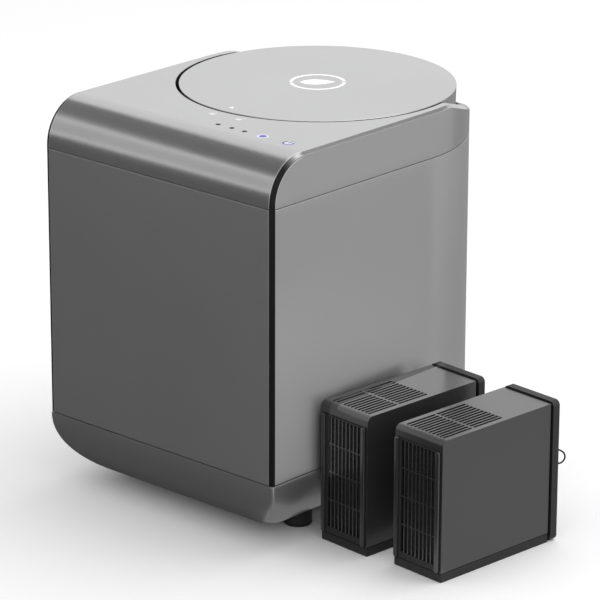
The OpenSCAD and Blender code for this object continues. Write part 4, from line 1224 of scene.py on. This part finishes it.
def make_marks():
    """Plain ring, leaf and twist mark on the lid; lock marks, lamps and power sign on the deck."""
    rings = [band(0, AXIS_Y, RING_IN, RING_OUT, turn + RING_GAP, turn + 180 - RING_GAP, 60)
             for turn in (LEAF_TURN, LEAF_TURN + 180)]
    printed("lid_emblem", leaf_halves() + rings, "lid_outer")
    printed("twist_mark", [[(-2.6, 96.8), (2.6, 96.8), (0, 101.6)]], "lid_outer")
    locks = []
    for x, y, slip in LOCK_PLACES:
        locks.append([(x - 3, y - 1.2), (x + 3, y - 1.2), (x + 3, y + 3.4), (x - 3, y + 3.4)])
        locks.append(band(x + slip, y + 4.6, 1.5, 2.2, 0, 180, 14))
    printed("lock_marks", locks, "case", "print_faint")
    *dark, lit_x = status_places()
    rims = [circle(x, LENS_Y, LAMP_RIM_R, 32) for x in dark]
    printed("lamp_rims", rims, "case", "lens_black", HALO_RISE)
    sign = band(POWER_X, LENS_Y, SIGN_IN, SIGN_OUT, 130, 410, 40)
    half, low, high = SIGN_BAR
    corners = ((-half, low), (half, low), (half, high), (-half, high))
    bar = [(POWER_X + x, LENS_Y + y) for x, y in corners]
    printed("power_sign", [sign, bar], "case", "lamp_blue")
    # painted glow of the lit lamp on the deck round it
    printed("on_lamp_halo", [circle(lit_x, LENS_Y, HALO_R, 40)], "case", "lamp_halo", HALO_RISE)
    printed("on_lamp", [circle(lit_x, LENS_Y, LAMP_ON_R, 32)], "case", "lamp_blue")


# ------------------------------------------------------------------ cartridges
# Drawn with the front left foot at the origin, front towards -Y, then placed by the frame.

CART_LOW, CART_HIGH = span("filter_l_shell")
CART_W, CART_L, CART_H = CART_HIGH - CART_LOW
GRILLE_LOW, GRILLE_HIGH = (corner - CART_LOW for corner in span("filter_l_grille"))
SPARE_TURN = -4.5  # how far the spare cartridges are turned from the machine's axes, in degrees
CART_WALL = 2
CART_ROUND = 6
CART_EDGE = 0.7
TOP_SLOTS = 11
TOP_MARGIN = 4.5
TOP_FIELD = 73  # length of the slotted field in the top
TOP_START = CART_ROUND + 1
TOP_PITCH = (CART_W - 2 * TOP_MARGIN) / TOP_SLOTS
SLAT_W = 0.4 * TOP_PITCH
CROSS_W = 2.5
GROOVE = (GRILLE_LOW.z - 1.1, GRILLE_LOW.z - 0.3)
GROOVE_DEEP = 0.5
FLOOR_EDGE = 4
GRILLE_SIDE = 2.3  # from the cartridge's side to its front insert
GRILLE_FRAME = (6, 1.6)  # the insert's border below and above its slots
SLOT_COUNT = 9
SLOT_PITCH = 4.7
SLOT_W = 3.1
SLOT_FIELD = (SLOT_COUNT - 1) * SLOT_PITCH + SLOT_W
SLOT_LEFT = (CART_W - SLOT_FIELD) / 2
RIB_COUNT = 3
RIB_W = 1.2
RAIL_W = 4.5
CARBON_EDGE = 2.3  # from the cartridge's faces to its block of carbon
CARBON_FRONT = 4.3
CARBON_ROUGH = 0.8  # how far the lumps stand out of the block
LUMP_R = 1.25
LUMP_PITCH = 2.7
TOP_LUMPS = (8, 74)  # where the lumps in the top start, and how far they reach
FACE_LUMPS = (14, 106)  # the same for the lumps in the front
LOOP_BACK = CART_L + 12
LOOP_Z = 70
LOOP_D = 1.6
LOOP_ROUTE = ((0, 4), (3.5, 4), (8, 4.2), (13, 4), (18, 3.4), (23, 2.2), (28, 0.6), (32.5, -1.6),
              (36.5, -4.2), (39.4, -7.4), (39.8, -11.2), (37, -14), (32.5, -14.4), (27.5, -13),
              (22, -10.8), (16.5, -8.4), (11, -6), (6, -4.2), (0, -4))


def cartridge_place(name):
    """Matrix that takes a cartridge's own millimetres to the shared frame."""
    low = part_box(name + "_shell")[0]
    if name.startswith("filter"):
        return Matrix.Translation(low) @ Matrix.Scale(MM, 4)
    turn = math.radians(SPARE_TURN)
    start = Vector((low.x, low.y - CART_W * MM * math.sin(turn), low.z))
    return Matrix.Translation(start) @ Matrix.Rotation(turn, 4, "Z") @ Matrix.Scale(MM, 4)


def make_loop(name):
    """Pull loop of thin cord, out of the cap and back into it."""
    place = cartridge_place(name)
    points = [place @ Vector((CART_W / 2, LOOP_BACK + back, LOOP_Z + up))
              for back, up in LOOP_ROUTE]
    curve = bpy.data.curves.new(name + "_pull", "CURVE")
    curve.dimensions = "3D"
    curve.bevel_depth = LOOP_D / 2 * MM
    curve.bevel_resolution = 3
    curve.resolution_u = 6
    curve.use_fill_caps = True
    spline = curve.splines.new("BEZIER")
    spline.bezier_points.add(len(points) - 1)
    for spot, point in zip(spline.bezier_points, points):
        spot.co = point
        spot.handle_left_type = "AUTO"
        spot.handle_right_type = "AUTO"
    piece = bpy.data.objects.new(name + "_pull", curve)
    bpy.context.scene.collection.objects.link(piece)
    curve.materials.append(FINISH["loop_cord"])
    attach(piece, name)
    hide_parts(name + "_loop")


def picture_frame(bm, outer, inner, y0, y1):
    """Flat frame round an opening; outer and inner are (x0, x1, z0, z1)."""
    def loop(box, y):
        x0, x1, z0, z1 = box
        return [(x0, y, z0), (x1, y, z0), (x1, y, z1), (x0, y, z1)]
    loft(bm, [loop(outer, y1), loop(outer, y0), loop(inner, y0), loop(inner, y1), loop(outer, y1)])


def shell_skin(bm):
    """Outer skin above the groove: open below, at the front insert and at the slotted field."""
    field = TOP_MARGIN + SLAT_W / 2
    low, lintel = GROOVE[1], GRILLE_HIGH.z + 0.3
    xs = [0, CART_WALL, field, CART_W - field, CART_W - CART_WALL, CART_W]
    brow = arc_points(CART_ROUND, CART_H - CART_ROUND, CART_ROUND, 180, 90, 8)
    path = [(0, low), (0, lintel)] + brow + [(TOP_START, CART_H), (TOP_START + TOP_FIELD, CART_H),
                                             (CART_L, CART_H), (CART_L, low)]
    rows = [[bm.verts.new((x, y, z)) for x in xs] for y, z in path]
    for k in range(len(path) - 1):
        for i in range(len(xs) - 1):
            insert = k == 0 and 0 < i < len(xs) - 2
            slotted = path[k] == (TOP_START, CART_H) and i == 2
            if not insert and not slotted:
                bm.faces.new((rows[k][i], rows[k][i + 1], rows[k + 1][i + 1], rows[k + 1][i]))
    for i, order in ((0, 1), (-1, -1)):
        bm.faces.new([row[i] for row in rows][::order])
    bmesh.ops.recalc_face_normals(bm, faces=bm.faces)
    if min(bm.faces, key=lambda f: f.calc_center_median().x).normal.x > 0:
        bmesh.ops.reverse_faces(bm, faces=bm.faces)


def shell_foot(bm):
    """Base band with its floor, and the set-back ring that makes the groove above it."""
    def oblong(side, front, back):
        return [(side, front), (CART_W - side, front), (CART_W - side, back), (side, back)]

    inner = oblong(CART_WALL, FLOOR_EDGE, CART_L - CART_WALL)
    for inset, z0, z1 in ((0, 0, GROOVE[0]), (GROOVE_DEEP, GROOVE[0] - 0.1, GROOVE[1] + 0.2)):
        outer = oblong(inset, inset, CART_L)
        levels = ((outer, z0), (outer, z1), (inner, z1), (inner, z0), (outer, z0))
        loft(bm, [[(x, y, z) for x, y in ring] for ring, z in levels])
    brick(bm, (1, 3, 0.02), (CART_W - 1, CART_L - 1, CART_WALL))


def make_shell(name):
    """Cartridge shell: rounded brow, slotted field in the top, groove above the base band."""
    bm = bmesh.new()
    shell_skin(bm)
    skin = new_object("skin", bm)
    thicken(skin, CART_WALL / MM)
    soften(skin, CART_EDGE / MM, 3)
    settle(skin)
    bm = bmesh.new()
    shell_foot(bm)
    recalculated(bm)
    foot = new_object("foot", bm)
    soften(foot, CART_EDGE / MM, 3)
    settle(foot)
    slat = template("slat", brick, (0, -1, -CART_WALL), (SLAT_W, TOP_FIELD + 1, 0), bevel=0.3)
    slats = grid("slats", slat, "cartridge_grey",
                 (TOP_MARGIN + TOP_PITCH - SLAT_W / 2, TOP_START, CART_H), TOP_SLOTS - 1,
                 (TOP_PITCH, 0, 0))
    cross = template("cross", brick, (0, -CROSS_W / 2, -CART_WALL - 0.1),
                     (CART_W - 2 * TOP_MARGIN, CROSS_W / 2, -0.1), bevel=0.3)
    crosses = grid("crosses", cross, "cartridge_grey",
                   (TOP_MARGIN, TOP_START + TOP_FIELD / 2, CART_H), 1, (1, 0, 0))
    coated(skin, "cartridge_grey")
    coated(foot, "cartridge_dark")
    whole = joined(name + "_shell_form", [skin, foot, slats, crosses])
    moved(whole, cartridge_place(name))
    shade(whole)
    stand_in(whole, name + "_shell", finish=("cartridge_grey", "cartridge_dark"))


def make_grille(name):
    """Front insert: upright bars over recessed cross ribs, between two proud rounded rails."""
    low, high = GRILLE_LOW.z, GRILLE_HIGH.z
    foot, height = low + GRILLE_FRAME[0], high - low - sum(GRILLE_FRAME)
    row = (height + RIB_W) / (RIB_COUNT + 1)
    bm = bmesh.new()
    picture_frame(bm, (GRILLE_SIDE, CART_W - GRILLE_SIDE, low, high),
                  (SLOT_LEFT, SLOT_LEFT + SLOT_FIELD, foot, foot + height), -1, 2)
    recalculated(bm)
    surround = new_object("surround", bm)
    soften(surround, 0.3 / MM, 2)
    settle(surround)
    coated(surround, "cartridge_dark")
    bar = template("bar", brick, (0, 0, -1), (SLOT_PITCH - SLOT_W, 1.4, height + 1), bevel=0.35)
    bars = grid("bars", bar, "cartridge_grey", (SLOT_LEFT + SLOT_W, -0.8, foot), SLOT_COUNT - 1,
                (SLOT_PITCH, 0, 0))
    rib = template("rib", brick, (-1, 0, 0), (SLOT_FIELD + 1, RIB_W, RIB_W), bevel=0.25)
    ribs = grid("ribs", rib, "cartridge_grey", (SLOT_LEFT, -0.35, foot + row - RIB_W), 1, (1, 0, 0),
                RIB_COUNT, (0, 0, row))
    rail = template("rail", brick, (0, 0, 0), (RAIL_W, 3, high - low), bevel=1.2)
    rails = grid("rails", rail, "cartridge_grey", (1, -3, low), 2, (CART_W - 3 - RAIL_W, 0, 0))
    whole = joined(name + "_grille_form", [surround, bars, ribs, rails])
    moved(whole, cartridge_place(name))
    shade(whole)
    stand_in(whole, name + "_grille", finish=("cartridge_dark", "cartridge_grey"))


def lump(bm):
    """One granule, uneven by a fixed rule."""
    bmesh.ops.create_icosphere(bm, subdivisions=1, radius=LUMP_R)
    for i, vert in enumerate(bm.verts):
        vert.co *= 0.85 + 0.3 * ((i * 7) % 5) / 4


def make_carbon(name, seed):
    """Block of loose granules with lumps where the slots show them."""
    edge, pitch, front, top_z = CARBON_EDGE, LUMP_PITCH, CARBON_FRONT, CART_H - CARBON_EDGE
    bm = bmesh.new()
    brick(bm, (edge, front + CARBON_ROUGH, edge), (CART_W - edge, CART_L - edge, top_z - 1.0))
    block = new_object("block", bm)
    block.data.materials.append(FINISH["carbon"])
    across = int((CART_W - 2 * edge - 3) / pitch)
    start = (CART_W - (across - 1) * pitch) / 2
    top = grid("top_lumps", template("lump", lump), "carbon", (start, TOP_LUMPS[0], top_z - 1.2),
               across, (pitch, 0, 0), int(TOP_LUMPS[1] / pitch), (0, pitch, 0), 1.0, seed)
    face = grid("face_lumps", template("lump", lump), "carbon", (start, front + 1.2, FACE_LUMPS[0]),
                across, (pitch, 0, 0), int(FACE_LUMPS[1] / pitch), (0, 0, pitch), 1.0, seed + 7)
    whole = moved(joined(name + "_carbon_form", [block, top, face]), cartridge_place(name))
    shade(whole, 60)
    stand_in(whole, name + "_carbon")


def make_cartridge(name, seed):
    """Shell, cap, grille and carbon of one cartridge."""
    make_shell(name)
    refined(name + "_cap", CART_EDGE, 3)
    make_grille(name)
    make_carbon(name, seed)


# ------------------------------------------------------------------ rear, bucket, drive, air path

REAR_SCREW_INSET = 7  # from the rear panel's side to its screws
REAR_SCREW_SUNK = 1.8  # how far the screws' heads lie inside their node's back end
SCREW_STEPS = 24
BLADES = 7
BLADE_STEPS = 6
BLADE_CHORD = 16
BLADE_TWIST = (52, 20)  # a blade's twist at the hub, and how much it loses towards the tip, degrees
BLADE_SECTION = ((0.0, 0), (0.25, 0.7), (0.5, 0.9), (0.75, 0.7), (1.0, 0), (0.75, -0.2),
                 (0.5, -0.1), (0.25, -0.2))  # share of the chord, height over it


def refined_all(widths):
    """Several CAD nodes' own shapes, each with the rounding of its edges in millimetres."""
    for node, width in widths.items():
        refined(node, width)


def screw_head(bm):
    """Pan head with a recess, its axis along Y and its face at the origin."""
    profile = [(0, 0.7), (0.9, 0.7), (1.3, 1.75), (1.9, 1.6), (2.6, 1.1), (3.0, 0.3), (3.0, 0),
               (0, 0)]
    lathe(bm, profile, (0, 0), SCREW_STEPS)
    recalculated(bm)


def rear_screw_heights():
    """Heights of the two rows of rear screws, from the node's own corners."""
    zs = [v.co.z / MM for v in NODES["screws"].data.vertices if v.co.y > ORIGIN.y + 300 * MM]
    split = (min(zs) + max(zs)) / 2
    rows = [z for z in zs if z < split], [z for z in zs if z >= split]
    return [(min(row) + max(row)) / 2 for row in rows]


def make_screws():
    """Screws of the rear panel and of the feet."""
    lower, upper = rear_screw_heights()
    x, y = span("rear_panel")[1].x - REAR_SCREW_INSET, span("screws")[1].y - REAR_SCREW_SUNK
    head = moved(template("head", screw_head), Matrix.Rotation(math.radians(-90), 4, "X"))
    heads = grid("rear_heads", head, "steel", (-x, y, lower), 2, (2 * x, 0, 0), 2,
                 (0, 0, upper - lower))
    shafts = new_object("screws_copy", node_mesh("screws"))
    shafts.data.materials.append(FINISH["steel"])
    whole = joined("screws", [moved(heads, TO_FRAME), shafts])
    shade(whole)
    stand_in(whole, "screws")


def make_rear():
    """Rear panel, filter bays, mains inlet with its three pins, and the screws."""
    refined_all({"rear_panel": 0, "bay_housing": 0, "mains_inlet": 0.4})
    make_screws()


def make_bucket():
    """Bucket, its bush and bail, the chamber round it and the lid's inner pieces."""
    refined_all({"bucket": 0.5, "bucket_bush": 0.3, "bucket_bail": 0, "chamber_pot": 0.4,
                 "insulation": 0.8, "heater_plate": 0.4, "lid_core": 0.5})
    refined("lid_seal", 0.8, 3)
    refined_all({"lid_magnet": 0.2, "lid_sensor": 0.4})


def make_drive():
    """Stirrer, shafts, gears, bearings, plates, posts and motor."""
    refined_all({"stirrer": 0.5, "stirrer_arms": 0.8, "output_shaft": 0.4, "output_gear": 0.3,
                 "bearings": 0.3, "gear_plate": 0.4, "gear_cover": 0.4, "frame_posts": 0.4,
                 "motor": 0.8, "motor_pinion": 0.3})


def make_air_path():
    """Fan, cowl, plenum and exhaust pipe."""
    refined_all({"fan_frame": 0.5, "fan_cowl": 0.6, "plenum": 0.6, "exhaust_pipe": 0.4})
    make_fan_wheel()


def blade(bm, hub, reach):
    """One curved fan blade that leaves the hub along +X, its axis along Y."""
    rows = []
    for i in range(BLADE_STEPS + 1):
        share = i / BLADE_STEPS
        r = hub + (reach - hub) * share
        twist = math.radians(BLADE_TWIST[0] - BLADE_TWIST[1] * share)
        row = []
        for t, rise in BLADE_SECTION:
            chord = (t - 0.5) * BLADE_CHORD
            row.append((r, chord * math.cos(twist) + rise * math.sin(twist),
                        chord * math.sin(twist) - rise * math.cos(twist)))
        rows.append(row)
    loft(bm, rows, True, True, True)
    recalculated(bm)


def make_fan_wheel():
    """Hub with a rounded nose, and its blades."""
    low, high = span("fan_wheel")
    middle = (low + high) / 2
    reach = (high.z - low.z) / 2
    hub = reach / 2
    blades = ring("fan_blades", template("blade", blade, hub - 1, reach - 0.5), "duct_plastic",
                  BLADES, (0, 1, 0), tuple(middle))
    bm = bmesh.new()
    profile = [(0, 9.0), (hub - 2.5, 9.0), (hub, 7.0), (hub, -9.5), (2, -9.5), (2, -10.2),
               (0, -10.2)]
    lathe(bm, profile, (0, 0), 64)
    recalculated(bm)
    bm.transform(Matrix.Translation(middle) @ Matrix.Rotation(math.radians(90), 4, "X"))
    core = new_object("fan_core", bm)
    core.data.materials.append(FINISH["duct_plastic"])
    whole = moved(joined("fan_wheel_form", [core, blades]), TO_FRAME)
    shade(whole)
    stand_in(whole, "fan_wheel")


def make_controls():
    """Lamps, the power key's window and the boards."""
    refined_all({"status_lenses": 0.1, "power_lens": 0.25, "touch_board": 0.2, "power_board": 0.2})


# ------------------------------------------------------------------ camera, floor and light
# Everything here is in metres, in the shared frame.

FLOOR_SEEN = 0.97
FLOOR_RETURN = 0.35
CARD_RISE = 0.003
BALL_MIDDLE = Vector((-0.08, 0, 0.3))
BALL_R = 1.8


def aim_camera():
    """The camera of the product picture, from the sidebar's turn, pitch, roll and place."""
    view = bpy.context.scene.composter_view
    turn, pitch, roll = (math.radians(a) for a in (view.turn, view.pitch, view.roll))
    level = math.cos(pitch)
    forward = Vector((-math.sin(turn) * level, math.cos(turn) * level, -math.sin(pitch)))
    right = Vector((math.cos(turn), math.sin(turn), 0))
    up = right.cross(forward)
    across = right * math.cos(roll) + up * math.sin(roll)
    above = up * math.cos(roll) - right * math.sin(roll)
    data = bpy.data.cameras.new("product_camera")
    data.sensor_width = 36
    data.lens = view.lens
    data.clip_end = 100
    camera = bpy.data.objects.new("product_camera", data)
    bpy.context.scene.collection.objects.link(camera)
    matrix = Matrix((across, above, -forward)).transposed().to_4x4()
    matrix.translation = view.place
    camera.matrix_world = matrix
    bpy.context.scene.camera = camera


def lamp(name, place, target, size, power):
    """A square soft lamp that faces a target."""
    data = bpy.data.lights.new(name, "AREA")
    data.energy = power
    data.size = size
    light = bpy.data.objects.new(name, data)
    bpy.context.scene.collection.objects.link(light)
    light.location = place
    light.rotation_euler = (Vector(target) - Vector(place)).to_track_quat("-Z", "Y").to_euler()


def shown_white(nodes, links, seen_shader, other_shader, output):
    """One shader for what the camera, gloss and glass see, another for the light that returns."""
    path = nodes.new("ShaderNodeLightPath")
    seen = path.outputs["Is Camera Ray"]
    for ray in ("Is Glossy Ray", "Is Transmission Ray"):
        seen = maths(nodes, links, "MAXIMUM", seen, path.outputs[ray])
    mix = nodes.new("ShaderNodeMixShader")
    links.new(seen, mix.inputs["Fac"])
    links.new(other_shader.outputs[0], mix.inputs[1])
    links.new(seen_shader.outputs[0], mix.inputs[2])
    links.new(mix.outputs[0], output.inputs["Surface"])


def bare_material(name):
    """A material with nothing but its output."""
    material = bpy.data.materials.new(name)
    material.use_nodes = True
    nodes = material.node_tree.nodes
    nodes.remove(nodes["Principled BSDF"])
    return material, nodes, material.node_tree.links


def grey_node(nodes, kind, tone):
    """A shader node of one grey."""
    node = nodes.new(kind)
    fixed(node, {"Color": (tone, tone, tone, 1)})
    return node


def floor_material():
    """Pale where it is seen, with the soft shadow, and darker to the light it returns."""
    material, nodes, links = bare_material("pale_floor")
    pale = grey_node(nodes, "ShaderNodeBsdfDiffuse", FLOOR_SEEN)
    dim = grey_node(nodes, "ShaderNodeBsdfDiffuse", FLOOR_RETURN)
    shown_white(nodes, links, pale, dim, nodes["Material Output"])
    return material


def make_world():
    """White where it is seen, an even soft light for everything else."""
    world = bpy.data.worlds.new("studio")
    bpy.context.scene.world = world
    world.use_nodes = True
    nodes, links = world.node_tree.nodes, world.node_tree.links
    soft = nodes["Background"]
    fixed(soft, {"Color": (1, 1, 1, 1), "Strength": bpy.context.scene.composter_view.fill})
    white = grey_node(nodes, "ShaderNodeBackground", 1)
    shown_white(nodes, links, white, soft, nodes["World Output"])


def card(name, tone, points):
    """Studio card that only gloss sees; points are rows of places in metres."""
    material, nodes, links = bare_material(name)
    glow = grey_node(nodes, "ShaderNodeEmission", tone)
    links.new(glow.outputs[0], nodes["Material Output"].inputs["Surface"])
    bm = bmesh.new()
    loft(bm, points, closed=False)
    board = new_object(name, bm)
    board.data.materials.append(material)
    for ray in ("camera", "diffuse", "transmission", "volume_scatter", "shadow"):
        setattr(board, "visible_" + ray, False)


def curved_card(name, tone, turns, heights):
    """Card on a ball round the case, between two turns from +X and two heights, in degrees."""
    def steps(limits, count):
        low, high = limits
        return [math.radians(low + (high - low) * i / count) for i in range(count + 1)]

    def spot(turn, up):
        level = math.cos(up)
        way = Vector((math.cos(turn) * level, math.sin(turn) * level, math.sin(up)))
        return BALL_MIDDLE + BALL_R * way

    card(name, tone, [[spot(turn, up) for turn in steps(turns, 12)] for up in steps(heights, 8)])


def floor_card(name, tone, low, high):
    """Card that lies just over the floor, between two corners."""
    card(name, tone, [[(x, y, CARD_RISE) for x in (low[0], high[0])] for y in (low[1], high[1])])


def side_card(name, tone, x, ys, zs):
    """Upright card between the case and the spare cartridges."""
    card(name, tone, [[(x, y, z) for y in ys] for z in zs])


def make_cards():
    """Dark and grey cards that give the satin paint its shading."""
    floor_card("front_floor_card", 0.035, (-2.4, -2.2), (0.7, -0.19))
    floor_card("left_floor_card", 0.05, (-2.4, -0.19), (0.02, 0.25))
    floor_card("corner_floor_card", 0.26, (0.02, -0.19), (0.15, 0.06))
    floor_card("near_floor_card", 0.62, (0.15, -0.1), (2.4, 0.26))
    floor_card("right_floor_card", 0.52, (0.35, 0.26), (2.4, 2.6))
    floor_card("rear_floor_card", 0.32, (-1.8, 0.26), (0.35, 2.6))
    side_card("side_inner_card", 0.47, 0.072, (-0.185, 0.046), (0.062, 0.323))
    side_card("side_outer_card", 0.95, 0.080, (-0.185, 0.035), (0.13, 0.215))
    curved_card("front_low_card", 0.03, (200, 262), (-9, 8))
    curved_card("front_high_card", 0.58, (202, 262), (14, 31))
    curved_card("left_high_card", 0.015, (165, 262), (37, 62))
    curved_card("rear_high_card", 0.15, (45, 90), (28, 52))


def make_stage():
    """Pale floor, soft lamps, studio cards and a white surround."""
    view = bpy.context.scene.composter_view
    make_world()
    bm = bmesh.new()
    bmesh.ops.create_grid(bm, x_segments=8, y_segments=8, size=6)
    floor = new_object("floor", bm)
    floor.data.materials.append(floor_material())
    make_cards()
    lamp("top_lamp", (0.3, 0.7, 2.2), (-0.05, 0, 0.2), 1.6, view.top_power)
    lamp("side_lamp", (2.2, 1.0, 1.2), (0, 0, 0.2), 1.2, view.side_power)
    bpy.context.scene.view_settings.view_transform = "Standard"


# ------------------------------------------------------------------ operators and panel


class COMPOSTER_OT_finishes(bpy.types.Operator):
    """Makes every finish of the composter"""

    bl_idname = "composter.finishes"
    bl_label = "Finishes"

    def execute(self, context):
        FINISH.update(make_finishes())
        for name, node in NODES.items():
            node.data.materials.clear()
            node.data.materials.append(FINISH[SLOT_OF[name]])
        return {"FINISHED"}


class COMPOSTER_OT_camera(bpy.types.Operator):
    """Puts the camera where the product picture is taken from"""

    bl_idname = "composter.camera"
    bl_label = "Camera"

    def execute(self, context):
        aim_camera()
        return {"FINISHED"}


class COMPOSTER_OT_loops(bpy.types.Operator):
    """Makes the pull loops of the cartridges"""

    bl_idname = "composter.loops"
    bl_label = "Pull loops"

    def execute(self, context):
        for name in CARTRIDGES:
            make_loop(name)
        return {"FINISHED"}


class COMPOSTER_OT_case(bpy.types.Operator):
    """Makes the base tray, front panel, wrap, top, corner strips and feet"""

    bl_idname = "composter.case"
    bl_label = "Case"

    def execute(self, context):
        make_base_tray()
        refined("front_panel", case_set().panel_edge, 3)
        make_wrap_shell()
        make_top_shell()
        make_strips()
        refined("rubber_feet", 0.8, 3)
        return {"FINISHED"}


class COMPOSTER_OT_lid(bpy.types.Operator):
    """Makes the lid and the marks on lid and deck"""

    bl_idname = "composter.lid"
    bl_label = "Lid and marks"

    def execute(self, context):
        make_lid()
        make_marks()
        return {"FINISHED"}


class COMPOSTER_OT_controls(bpy.types.Operator):
    """Makes the lamps, the key's window and the boards"""

    bl_idname = "composter.controls"
    bl_label = "Controls"

    def execute(self, context):
        make_controls()
        return {"FINISHED"}


class COMPOSTER_OT_bucket(bpy.types.Operator):
    """Makes the bucket, its bail and the chamber"""

    bl_idname = "composter.bucket"
    bl_label = "Bucket and chamber"

    def execute(self, context):
        make_bucket()
        return {"FINISHED"}


class COMPOSTER_OT_drive(bpy.types.Operator):
    """Makes the stirrer and its drive"""

    bl_idname = "composter.drive"
    bl_label = "Stirrer and drive"

    def execute(self, context):
        make_drive()
        return {"FINISHED"}


class COMPOSTER_OT_air(bpy.types.Operator):
    """Makes the fan and its ducts"""

    bl_idname = "composter.air"
    bl_label = "Air path"

    def execute(self, context):
        make_air_path()
        return {"FINISHED"}


class COMPOSTER_OT_rear(bpy.types.Operator):
    """Makes the rear panel, the bays, the mains inlet and the screws"""

    bl_idname = "composter.rear"
    bl_label = "Rear"

    def execute(self, context):
        make_rear()
        return {"FINISHED"}


class COMPOSTER_OT_cartridges(bpy.types.Operator):
    """Makes the two filter cartridges in the machine and the two spare ones"""

    bl_idname = "composter.cartridges"
    bl_label = "Cartridges"

    def execute(self, context):
        for seed, name in enumerate(CARTRIDGES):
            make_cartridge(name, seed)
        return {"FINISHED"}


class COMPOSTER_OT_stage(bpy.types.Operator):
    """Makes the floor, the lamps and the surround"""

    bl_idname = "composter.stage"
    bl_label = "Stage"

    def execute(self, context):
        make_stage()
        return {"FINISHED"}


OPERATORS = (
    COMPOSTER_OT_finishes, COMPOSTER_OT_camera, COMPOSTER_OT_loops, COMPOSTER_OT_case,
    COMPOSTER_OT_lid, COMPOSTER_OT_controls, COMPOSTER_OT_bucket, COMPOSTER_OT_drive,
    COMPOSTER_OT_air, COMPOSTER_OT_rear, COMPOSTER_OT_cartridges, COMPOSTER_OT_stage,
)


class COMPOSTER_PT_panel(bpy.types.Panel):
    """Lists the composter's settings and pieces"""

    bl_idname = "COMPOSTER_PT_panel"
    bl_label = "Composter"
    bl_space_type = "VIEW_3D"
    bl_region_type = "UI"
    bl_category = "Composter"

    def draw(self, context):
        layout = self.layout
        for settings in (case_set(), colours(), context.scene.composter_view):
            for name in settings.__annotations__:
                layout.prop(settings, name)
        for operator in OPERATORS:
            layout.operator(operator.bl_idname)


CLASSES = (CaseSettings, FinishSettings, ViewSettings, *OPERATORS, COMPOSTER_PT_panel)


def register():
    for cls in CLASSES:
        bpy.utils.register_class(cls)
    bpy.types.Scene.composter_case = PointerProperty(type=CaseSettings)
    bpy.types.Scene.composter_finish = PointerProperty(type=FinishSettings)
    bpy.types.Scene.composter_view = PointerProperty(type=ViewSettings)


def unregister():
    del bpy.types.Scene.composter_case
    del bpy.types.Scene.composter_finish
    del bpy.types.Scene.composter_view
    for cls in reversed(CLASSES):
        bpy.utils.unregister_class(cls)


def main():
    """Builds everything in order."""
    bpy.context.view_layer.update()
    register()
    for operator in OPERATORS:
        getattr(bpy.ops.composter, operator.bl_idname.split(".")[1])()


if __name__ == "__main__":
    main()
